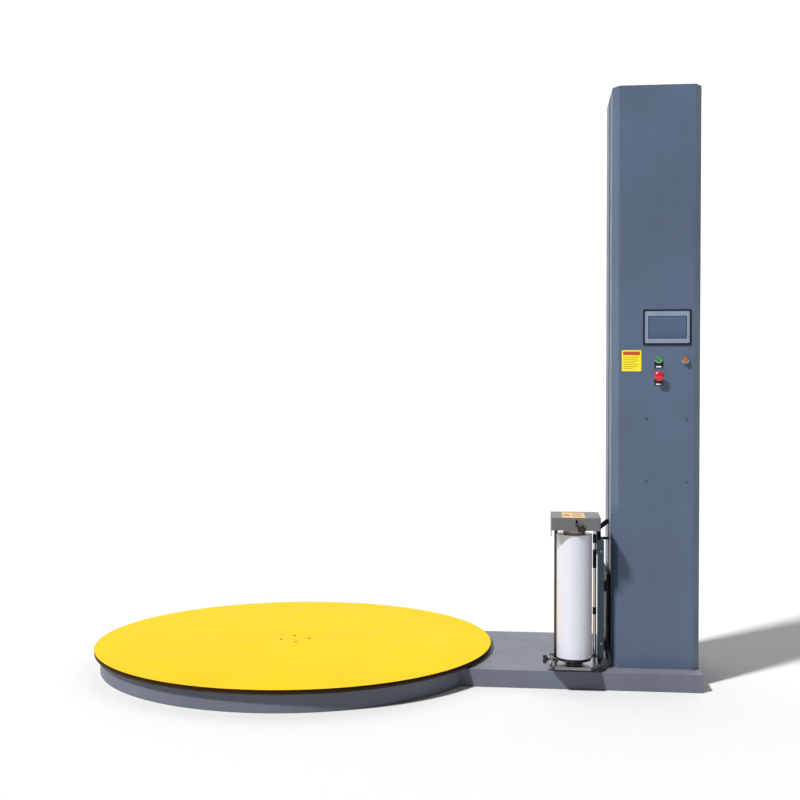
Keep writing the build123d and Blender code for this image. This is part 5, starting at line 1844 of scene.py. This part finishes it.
@dataclass
class Drives(SubAssembly):
    """The two geared motors with their chains and chain wheels.

    Attributes:
        table_pitch: Pitch of the turntable's chain.
        lift_pitch: Pitch of the lift's chain.
        clearance: Gap between a chain and the tips of its wheel's teeth.
    """

    table_pitch: float = 15.875 * MM
    lift_pitch: float = 12.7 * MM
    clearance: float = 0.3 * MM

    def build(self) -> None:
        """Dresses the chain wheels and makes the chains and the motors."""
        self.dress(CHAIN_STEEL, "table_drive_sprocket", "lift_drive_sprocket", "lift_idler_sprocket")
        self.table_chain()
        self.lift_chain()
        self.table_motor()
        self.lift_motor()

    def table_chain(self) -> None:
        """The chain from the drive wheel under the mast to the turntable's wheel."""
        big, small = Span.of("turntable_sprocket"), Span.of("table_drive_sprocket")
        band = Span.of("table_drive_chain")
        depth = (band.size.y - big.size.y) / 2 - self.clearance
        teeth = solids_of(self.nodes["table_drive_sprocket"])[0]
        far = max(teeth.size.x, small.size.x) / 2 + self.clearance + depth / 2
        near = big.size.y / 2 + self.clearance + depth / 2
        link = ChainLink(self.table_pitch, depth, band.size.z)
        place = Matrix.Translation((0.0, 0.0, band.centre.z))
        chain = link.loop(ChainRun(near, far, small.centre.x), place)
        self.add(chain, "table_chain_links", "base", [CHAIN_STEEL], ["table_drive_chain"])

    def lift_chain(self) -> None:
        """The upright chain that carries the film carriage."""
        top, bottom = Span.of("lift_drive_sprocket"), Span.of("lift_idler_sprocket")
        band = Span.of("lift_chain")
        depth = (band.size.y - bottom.size.y) / 2 - self.clearance
        radius = bottom.size.y / 2 + self.clearance + depth / 2
        link = ChainLink(self.lift_pitch, depth, band.size.x)
        upright = Matrix((
            (0, 0, 1, band.centre.x), (0, 1, 0, bottom.centre.y), (1, 0, 0, bottom.centre.z), (0, 0, 0, 1)
        ))
        chain = link.loop(ChainRun(radius, radius, top.centre.z - bottom.centre.z), upright)
        self.add(chain, "lift_chain_links", "base", [CHAIN_STEEL], ["lift_chain"])

    def motor(self, shape: Shape, place: Matrix, radius: float, length: float, fins: int) -> None:
        """A finned motor that stands on its gearbox, with its fan cowl.

        Args:
            shape: The shape that it joins.
            place: The middle of its foot and its axis.
            radius: Its radius over the fins.
            length: Its length with the cowl.
            fins: How many cooling fins it has.
        """
        core, cowl = radius * 0.86, length * 0.24
        lip = length * 0.08
        flange = [(0.0, 0.0), (radius, 0.0), (radius, length * 0.06), (core, lip), (0.0, lip)]
        shape.turned(flange, place, 48, ease=0.0006)
        shape.disc(core, length * 0.05, length - cowl, place)
        for k in range(fins):
            turn = Matrix.Rotation(FULL_TURN * k / fins, 4, "Z")
            low, high = (core * 0.96, -0.9 * MM, length * 0.09), (radius, 0.9 * MM, length - cowl - 2 * MM)
            fin = Shape().block(Span.between(low, high), ease=0.0)
            shape.take(fin.bm, place @ turn)
        grille = [(0.93, 0.985), (0.72, 1.0), (0.70, 0.985), (0.58, 0.985), (0.56, 1.0)]
        grille += [(0.44, 1.0), (0.42, 0.985), (0.30, 0.985), (0.28, 1.0), (0.0, 1.0)]
        hood = [(0.0, length - cowl), (radius, length - cowl), (radius, length * 0.93)]
        hood += [(radius * r, length * z) for r, z in grille]
        shape.turned(hood, place, 48, ease=0.0003, skin=1)

    def table_motor(self) -> None:
        """The worm gearbox on the mast's base plate with its upright motor."""
        span = Span.of("table_gearmotor")
        x, y = Span.of("table_drive_sprocket").centre.xy
        side, height = 110 * MM, 92 * MM
        base = span.low.z
        unit = Shape()
        box = Span.between((x - side / 2, y - side / 2, base), (x + side / 2, y + side / 2, base + height))
        unit.dished(box, BACK, [(12 * MM, 0.0), (0.8 * MM, 3 * MM)], 0.002, 0.008, 2)
        for dx in (-42, 42):
            for dz in (14, 78):
                at = (x + dx * MM, box.high.y - 0.2 * MM, base + dz * MM)
                unit.screw(Head.HEXAGON, at, BACK, 0.0055, skin=2)
        top = base + height
        self.motor(unit, facing((x, y, top), UP), radius=63 * MM, length=span.high.z - top, fins=28)
        terminal = Span.between(
            (x + 50 * MM, y - 30 * MM, top + 45 * MM), (span.high.x, y + 30 * MM, top + 120 * MM)
        )
        unit.dished(terminal, RIGHT, [(5 * MM, 0.0), (0.6 * MM, -2 * MM)], 0.001, 0.004, 0)
        self.add(unit, "table_geared_motor", "base", [MOTOR_COAT, BLACK_PLASTIC, ZINC], ["table_gearmotor"])

    def lift_motor(self) -> None:
        """The lift's gearbox and motor on their shelf near the mast's top."""
        spans = solids_of(self.nodes["lift_gearmotor"])
        unit_span = max(spans, key=lambda s: s.size.z)
        shelf = min(spans, key=lambda s: s.size.z)
        wheel = Span.of("lift_drive_sprocket")
        unit = Shape()
        width, height = 90 * MM, 95 * MM
        low = unit_span.low
        box = Span.between(low, (low.x + width, unit_span.high.y, low.z + height))
        unit.dished(box, UP, [(10 * MM, 0.0), (0.8 * MM, -3 * MM)], 0.0015, 0.008, 0)
        place = facing((box.high.x, wheel.centre.y, wheel.centre.z), RIGHT)
        self.motor(unit, place, radius=46 * MM, length=unit_span.high.x - box.high.x, fins=22)
        unit.block(shelf, ease=0.0006, skin=3)
        for dx in (16, 74):
            for dy in (-60, 68):
                at = (box.low.x + dx * MM, wheel.centre.y + dy * MM, shelf.high.z - 0.1 * MM)
                unit.screw(Head.HEXAGON, at, UP, 0.006, skin=2)
        finishes = [MOTOR_COAT, BLACK_PLASTIC, ZINC, FRAME_COAT]
        self.add(unit, "lift_geared_motor", "base", finishes, ["lift_gearmotor"])


@dataclass
class Carriage(SubAssembly):
    """The film carriage: slider, trolley plate, column, tray and head.

    Attributes:
        strip: Length and width of the label on the head.
        slot: Where the middle of the mast's slot is, along Y.
    """

    strip: tuple[float, float] = (86 * MM, 168 * MM)
    slot: float = -85 * MM

    def build(self) -> None:
        """Dresses the plates and makes the bolts, the rod and the head's label."""
        self.dress(FRAME_COAT, "carriage_slider")
        self.dress(NYLON, "guide_shoes")
        self.dress(BLACK_COAT_AND_SHADE, "trolley_bracket")
        self.dress(COLUMN_COAT_AND_SHADE, "carriage_column")
        self.dress(STAINLESS_AND_SHADE, "carriage_tray")
        self.dress(HEAD_COAT, "head_housing")
        self.bolts()
        self.stay()
        self.head_label()
        self.tray_floor()

    def bolts(self) -> None:
        """The bolts through the trolley plate and its ties, and the head's screws."""
        heads = Shape()
        column, head = Span.of("carriage_column"), Span.of("head_housing")
        face = Span.of("mast_left_cheeks").low.x - 16 * MM
        seats = [(self.slot + side * 13 * MM, z) for z in (150, 190, 370, 392) for side in (-1, 1)]
        for y, z in seats + [(62 * MM, 130), (62 * MM, 170)]:
            heads.screw(Head.HEXAGON, (face, y, z * MM), LEFT, 0.0065)
        for drop in (15, 33):
            at = (head.high.x, head.high.y - 18 * MM, head.high.z - drop * MM)
            heads.screw(Head.SOCKET, at, RIGHT, 0.005)
        for z in (160, 520):
            heads.screw(Head.SOCKET, (column.centre.x + 2 * MM, column.low.y, z * MM), FRONT, 0.005)
        self.add(heads, "carriage_bolts", "carriage", [ZINC])

    def stay(self) -> None:
        """The polished rod at the left with a nut at each end."""
        span = Span.of("stay_post")
        r, height = span.size.x / 2, span.size.z
        end = [(0.0, 0.0), (r * 0.92, 0.0), (r, 0.8 * MM)]
        rod = end + [(radius, height - z) for radius, z in reversed(end)]
        post = Shape().turned(rod, span.foot, 40)
        for z, way in ((span.low.z, 1), (Span.of("head_housing").high.z - 2 * MM, -1)):
            nut = [(r * 0.9, 0.0), (r * 1.9, 0.0), (r * 1.9, 8 * MM), (r * 0.9, 8 * MM)]
            place = facing((span.centre.x, span.centre.y, z), (0, 0, way))
            post.turned(nut, place, 6, closed=True, ease=0.0008, skin=1)
        self.add(post, "stay_rod", "carriage", [DARK_STEEL_AND_REFLECTION, ZINC], ["stay_post"])

    def head_label(self) -> None:
        """The sheet label on the head's top, in two plain colours with bars for its lines."""
        head = Span.of("head_housing")
        length, width = self.strip
        x0 = head.low.x + 43 * MM
        y0 = head.low.y + 9 * MM
        top = head.high.z
        strip = Shape()
        strip.block(Span.between((x0, y0, top), (x0 + length, y0 + width, top + 0.4 * MM)), 0.0001, 0.002)
        tag = Span.between(
            (x0 + 6 * MM, y0 + 50 * MM, top + 0.35 * MM),
            (x0 + 30 * MM, y0 + 112 * MM, top + 0.6 * MM),
        )
        strip.block(tag, 0.0001, 0.001, skin=1)
        for k in range(5):
            y = y0 + (24 + 27 * k) * MM
            low = Vector((x0 + 38 * MM, y, top + 0.35 * MM))
            strip.block(Span(low, low + Vector((38 * MM, 9 * MM, 0.2 * MM))), 0.00004, skin=2 if k % 2 else 1)
        self.add(strip, "head_label", "carriage", [LABEL_AMBER, LABEL_ORANGE, LABEL_INK])

    def tray_floor(self) -> None:
        """The bearing's cover under the roll, with its ring of screws."""
        roll, tray = Span.of("film_core"), Span.of("carriage_tray")
        x, y = roll.centre.xy
        floor = tray.low.z + 3 * MM
        cover = [(28.3, 0.0), (35, 0.0), (34, 3.5), (30, 5), (28.3, 5)]
        cover = [(r * MM, z * MM) for r, z in cover]
        ring = Shape().turned(cover, facing((x, y, floor), UP), 48, closed=True)
        for k in range(4):
            turn = math.radians(45 + 90 * k)
            at = (x + 42 * MM * math.cos(turn), y + 42 * MM * math.sin(turn), floor)
            ring.screw(Head.SOCKET, at, UP, 0.004)
        self.add(ring, "bearing_cover", "carriage", [ZINC])


@dataclass
class FilmRoll(SubAssembly):
    """The film roll on its core, with the spigots and the tension roller beside it."""

    def build(self) -> None:
        """Makes the roll, the core, the spigots and the roller."""
        self.web()
        self.core()
        self.spigots()
        self.roller()

    def web(self) -> None:
        """The wound film: soft windings up its side, and layers on its two ends."""
        span = Span.of("film_web")
        outer, inner, height = span.size.x / 2, Span.of("film_core").size.x / 2, span.size.z
        rows, layers = 46, 9
        wall = outer - inner
        end = [(inner + wall * k / layers, 0.35 * MM * (1 + math.sin(k * 2.3))) for k in range(layers)]
        side = []
        for k in range(rows + 1):
            swell = 0.18 * MM * (1 + math.sin(k * 1.9) * 0.6 + math.sin(k * 0.7) * 0.4)
            side.append((outer - swell, 0.8 * MM + (height - 1.6 * MM) * k / rows))
        profile = end + side + [(r, height - z) for r, z in reversed(end)]
        roll = Shape().turned(profile, span.foot, 96, closed=True)
        finish = Film(FILM.name, FILM.slot, FILM.shade, FILM.roughness, axis=(span.centre.x, span.centre.y))
        self.add(roll, "wound_film_roll", "film_roll", [finish], ["film_web"])

    def core(self) -> None:
        """The cardboard tube with its soft ends."""
        span = Span.of("film_core")
        outer, height = span.size.x / 2, span.size.z
        bore = outer - 4 * MM
        ends = [(bore, 0.6 * MM), (bore + 0.5 * MM, 0.0), (outer - 0.6 * MM, 0.0), (outer, 0.7 * MM)]
        profile = ends + [(r, height - z) for r, z in reversed(ends)]
        tube = Shape().turned(profile, span.foot, 72, closed=True)
        self.add(tube, "cardboard_core", "film_roll", [CARDBOARD_AND_LIGHT], ["film_core"])

    def spigots(self) -> None:
        """The turning flange below, the sliding tube above, and the plug that it carries."""
        span = Span.of("lower_spigot")
        r, height = span.size.x / 2, 8 * MM
        z0 = Span.of("film_core").low.z - span.low.z - height
        top = span.size.z
        plug = Span.of("film_core").size.x / 2 - 4 * MM
        lower = [
            (0.0, 0.0), (11.4 * MM, 0.0), (12 * MM, 0.6 * MM), (12 * MM, z0), (r * 0.9, z0),
            (r - 0.6 * MM, z0 + 0.4 * MM), (r, z0 + 1.2 * MM), (r, z0 + 2.8 * MM),
            (r - MM, z0 + 3.4 * MM), (r - MM, z0 + 4.6 * MM),
            (r, z0 + 5.2 * MM), (r, z0 + height - 1.2 * MM), (r - 1.2 * MM, z0 + height), (plug, z0 + height),
            (plug, top - 6 * MM), (plug - 6 * MM, top), (0.0, top),
        ]
        flange = Shape().turned(lower, span.foot, 72)
        self.add(flange, "turning_flange", "film_roll", [BLACK_PLASTIC], ["lower_spigot"])
        self.slide()
        span = Span.of("upper_spigot")
        core_top = Span.of("film_core").high.z - span.low.z
        fit, rim, top = plug - 0.3 * MM, span.size.x / 2, span.size.z
        upper = [
            (0.0, 0.0), (fit - 5 * MM, 0.0), (fit, core_top), (fit, core_top + 0.3 * MM),
            (rim - 0.6 * MM, core_top + 0.35 * MM),
            (rim, core_top + 1.1 * MM), (rim, core_top + 3.2 * MM), (rim - 0.8 * MM, core_top + 4 * MM),
            (8 * MM, core_top + 4 * MM), (8 * MM, top - 0.5 * MM), (7.5 * MM, top), (0.0, top),
        ]
        cone = Shape().turned(upper, span.foot, 64)
        self.add(cone, "centring_plug", "upper_spigot", [NYLON], ["upper_spigot"])

    def slide(self) -> None:
        """The bored tube that lifts the upper plug, with its pin and the pin's ball grip."""
        span, head = Span.of("spigot_slide"), Span.of("head_housing")
        x, y = Span.of("film_core").centre.xy
        top, depth = span.high.z - span.low.z, 14.5 * MM
        bore, wall = 8.05 * MM, 12 * MM
        tube = Shape().turned(
            [(0.0, top), (wall - 0.5 * MM, top), (wall, top - 0.5 * MM),
             (wall, 0.4 * MM), (wall - 0.4 * MM, 0.0), (bore, 0.0), (bore, depth), (0.0, depth)],
            facing((x, y, span.low.z), UP), 48,
        )
        pin_z = head.high.z - 27 * MM
        pin_x = x + 6 * MM
        tip, root = Vector((pin_x, span.low.y, pin_z)), Vector((pin_x, y - 8 * MM, pin_z))
        tube.rod(tip, root, 3 * MM, 0.0005, 24, 1)
        r, turns = 5.2 * MM, [math.pi * k / 12 for k in range(13)]
        ball = [(r * math.sin(turn), r * (1 - math.cos(turn))) for turn in turns]
        tube.turned(ball, facing((pin_x, span.low.y + 5.4 * MM, pin_z), FRONT), 28, skin=2)
        self.add(tube, "lifting_tube", "spigot_slide", [BLACK_COAT_AND_SHADE, ZINC, BLACK_PLASTIC], ["spigot_slide"])

    def roller(self) -> None:
        """The tension roller: polished tube, stepped journals and three rubber sleeves."""
        span, rings = Span.of("tension_roller"), solids_of(self.nodes["tension_rings"])
        r, journal = span.size.x / 2, 4 * MM
        low = Span.of("carriage_tray").low.z + 10 * MM - span.low.z
        high = Span.of("head_housing").low.z + 22 * MM - span.low.z
        top = span.size.z
        profile = [
            (0.0, 0.0), (journal - 0.4 * MM, 0.0), (journal, 0.5 * MM), (journal, low), (r - 0.6 * MM, low),
            (r, low + 0.7 * MM), (r, high - 0.7 * MM), (r - 0.6 * MM, high), (journal, high),
            (journal, top - 0.5 * MM), (journal - 0.4 * MM, top), (0.0, top),
        ]
        shaft = Shape().turned(profile, span.foot, 40)
        self.add(shaft, "tension_shaft", "tension_roller", [CHROME], ["tension_roller"])
        sleeves = Shape()
        for ring in rings:
            outer, height = ring.size.x / 2, ring.size.z
            sleeve = [(r * 1.001, 0.0), (outer - 0.3 * MM, 0.0), (outer, 0.4 * MM)]
            grooves = max(2, round(height / (9 * MM)))
            for k in range(grooves):
                z = height * (k + 0.5) / grooves
                groove = ((0.0, -0.8), (0.35, -0.3), (0.35, 0.3), (0.0, 0.8))
                sleeve += [(outer - deep * MM, z + up * MM) for deep, up in groove]
            sleeve += [(outer, height - 0.4 * MM), (outer - 0.3 * MM, height), (r * 1.001, height)]
            sleeves.turned(sleeve, ring.foot, 36, closed=True)
        self.add(sleeves, "rubber_sleeves", "tension_roller", [RUBBER], ["tension_rings"])


@dataclass
class Knobs(SubAssembly):
    """The two five-lobed clamping knobs.

    Attributes:
        radius: Radius over the lobes.
        thick: Thickness of the grip.
        lobes: How many lobes a knob has.
        pitch: Pitch of its stud's thread.
    """

    radius: float = 17.0 * MM
    thick: float = 14.0 * MM
    lobes: int = 5
    pitch: float = 1.4 * MM

    def build(self) -> None:
        """Makes the head's lock knob and the tray's brake knob."""
        lock, brake = Span.of("lock_knob"), Span.of("brake_knob")
        self.knob("lock_knob", Vector((lock.centre.x, lock.low.y, lock.centre.z)), FRONT, lock.size.y)
        self.knob("brake_knob", Vector((brake.low.x, brake.centre.y, brake.centre.z)), LEFT, brake.size.x)
        self.brake_pad(brake)

    def knob(self, node: str, face: Vector, way: Vector, reach: float) -> None:
        """A star grip with its collar, threaded stud and a metal insert in its face.

        Args:
            node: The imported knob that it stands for, and its body's name.
            face: The middle of its outer face.
            way: The way that its face looks.
            reach: Its length from face to stud's end.
        """
        back = facing(face - way * self.thick, way)
        grip = Shape().star(self.radius, self.thick, self.lobes, back)
        collar = [(0.0, -6), (7.2, -6), (7.65, -5.4), (7.65, 0.5), (0.0, 0.5)]
        grip.turned([(r * MM, z * MM) for r, z in collar], back, 32)
        insert = [(0.0, 0.0), (3.6 * MM, 0.0), (3.6 * MM, 0.9 * MM), (2.9 * MM, 1.3 * MM), (0.0, 1.3 * MM)]
        grip.turned(insert, facing(face - way * 1.6 * MM, way), 20, skin=1)
        length = reach - self.thick
        turns = int((length - 6 * MM) / self.pitch)
        thread = [(0.0, 5 * MM)]
        for k in range(turns):
            z = 6 * MM + self.pitch * k
            thread += [(3.95 * MM, z), (3.45 * MM, z + self.pitch / 2)]
        thread.append((0.0, length))
        grip.turned(thread, facing(face - way * self.thick, -way), 20, skin=1)
        self.add(grip, f"{node}_grip", node, [BLACK_PLASTIC, DARK_STEEL_AND_REFLECTION], [node])

    def brake_pad(self, span: Span) -> None:
        """The felt pad at the end of the brake's screw.

        Args:
            span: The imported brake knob's box.
        """
        start = Vector((span.high.x - 4 * MM, span.centre.y, span.centre.z))
        pad = Shape().rod(start, Vector((span.high.x, span.centre.y, span.centre.z)), 6 * MM, 0.0006, 32)
        self.add(pad, "brake_pad", "brake_knob", [RUBBER])


# ------------------------------------------------------------------------------ studio
@dataclass
class Studio:
    """The pale floor, the soft light and the camera.

    Attributes:
        eye: Where the camera stands.
        look: The camera's turn, in degrees.
        lens: Its focal length, in millimetres on a 36 mm sensor.
        sky: Strength of the even light from all round.
        key: Strength of the key light.
        key_way: The way that the key light falls.
        softness: The key light's width, in degrees.
    """

    eye: tuple[float, float, float] = (1.0074, -4.9589, 1.2069)
    look: tuple[float, float, float] = (88.779, 0.0, 6.4616)
    lens: float = 53.89
    sky: float = 0.17
    key: float = 4.1
    key_way: tuple[float, float, float] = (0.46, 0.46, -0.76)
    softness: float = 5.0

    def build(self) -> None:
        """Sets the whole stage."""
        self.camera()
        self.surroundings()
        self.light()

    def camera(self) -> None:
        """Stands the camera in front of the machine."""
        data = bpy.data.cameras.new("camera")
        data.lens = self.lens
        data.sensor_width = 36.0
        data.clip_end = 100.0
        camera = bpy.data.objects.new("camera", data)
        camera.location = self.eye
        camera.rotation_euler = Euler([math.radians(turn) for turn in self.look])
        bpy.context.scene.collection.objects.link(camera)
        bpy.context.scene.camera = camera

    def sheet(self, name: str, size: float, place: Matrix, glow: float) -> None:
        """A large plain pale sheet that isn't part of the machine.

        Args:
            name: Its name.
            size: Half the length of its side.
            place: Its middle and the way that it faces.
            glow: How strongly it glows.
        """
        bm = bmesh.new()
        bmesh.ops.create_grid(bm, x_segments=1, y_segments=1, size=size)
        bmesh.ops.transform(bm, matrix=place, verts=bm.verts)
        mesh = bpy.data.meshes.new(name)
        bm.to_mesh(mesh)
        bm.free()
        material = bpy.data.materials.new(name)
        material.use_nodes = True
        Graph(material.node_tree).wire(material.node_tree.nodes["Principled BSDF"], {
            "Base Color": Shade.FLOOR.linear, "Roughness": 0.9, "Specular IOR Level": 0.1,
            "Emission Color": Shade.FLOOR.linear, "Emission Strength": glow,
        })
        mesh.materials.append(material)
        made = bpy.data.objects.new(name, mesh)
        bpy.context.scene.collection.objects.link(made)

    def surroundings(self) -> None:
        """A wide pale floor, and a pale wall far behind the machine."""
        self.sheet("floor", 40.0, Matrix.Translation((0.0, 0.0, -0.0005)), 0.0)
        self.sheet("wall", 40.0, facing((0.0, 16.0, 0.0), FRONT), 0.4)

    def light(self) -> None:
        """A dim even sky, and a key light that falls from the front left."""
        scene = bpy.context.scene
        scene.view_settings.view_transform = "Standard"
        world = bpy.data.worlds.new("studio")
        world.use_nodes = True
        backdrop = world.node_tree.nodes["Background"]
        Graph(world.node_tree).wire(backdrop, {"Color": (0.95, 0.97, 1.0, 1.0), "Strength": self.sky})
        scene.world = world
        data = bpy.data.lights.new("key", "SUN")
        data.energy, data.angle = self.key, math.radians(self.softness)
        lamp = bpy.data.objects.new("key", data)
        lamp.rotation_euler = Vector(self.key_way).to_track_quat("-Z", "Y").to_euler()
        scene.collection.objects.link(lamp)


def main() -> None:
    """Loads the frame, builds every sub-assembly over it, and sets the studio."""
    logging.basicConfig(level=logging.INFO, format="%(name)s: %(message)s")
    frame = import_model()
    for kind in (RoundBase, Turntable, Beam, Mast, Controls, Drives, Carriage, FilmRoll, Knobs):
        group = kind(frame["nodes"])
        group.build()
        group.report()
    Studio().build()
    bpy.context.view_layer.update()


if __name__ == "__main__":
    main()
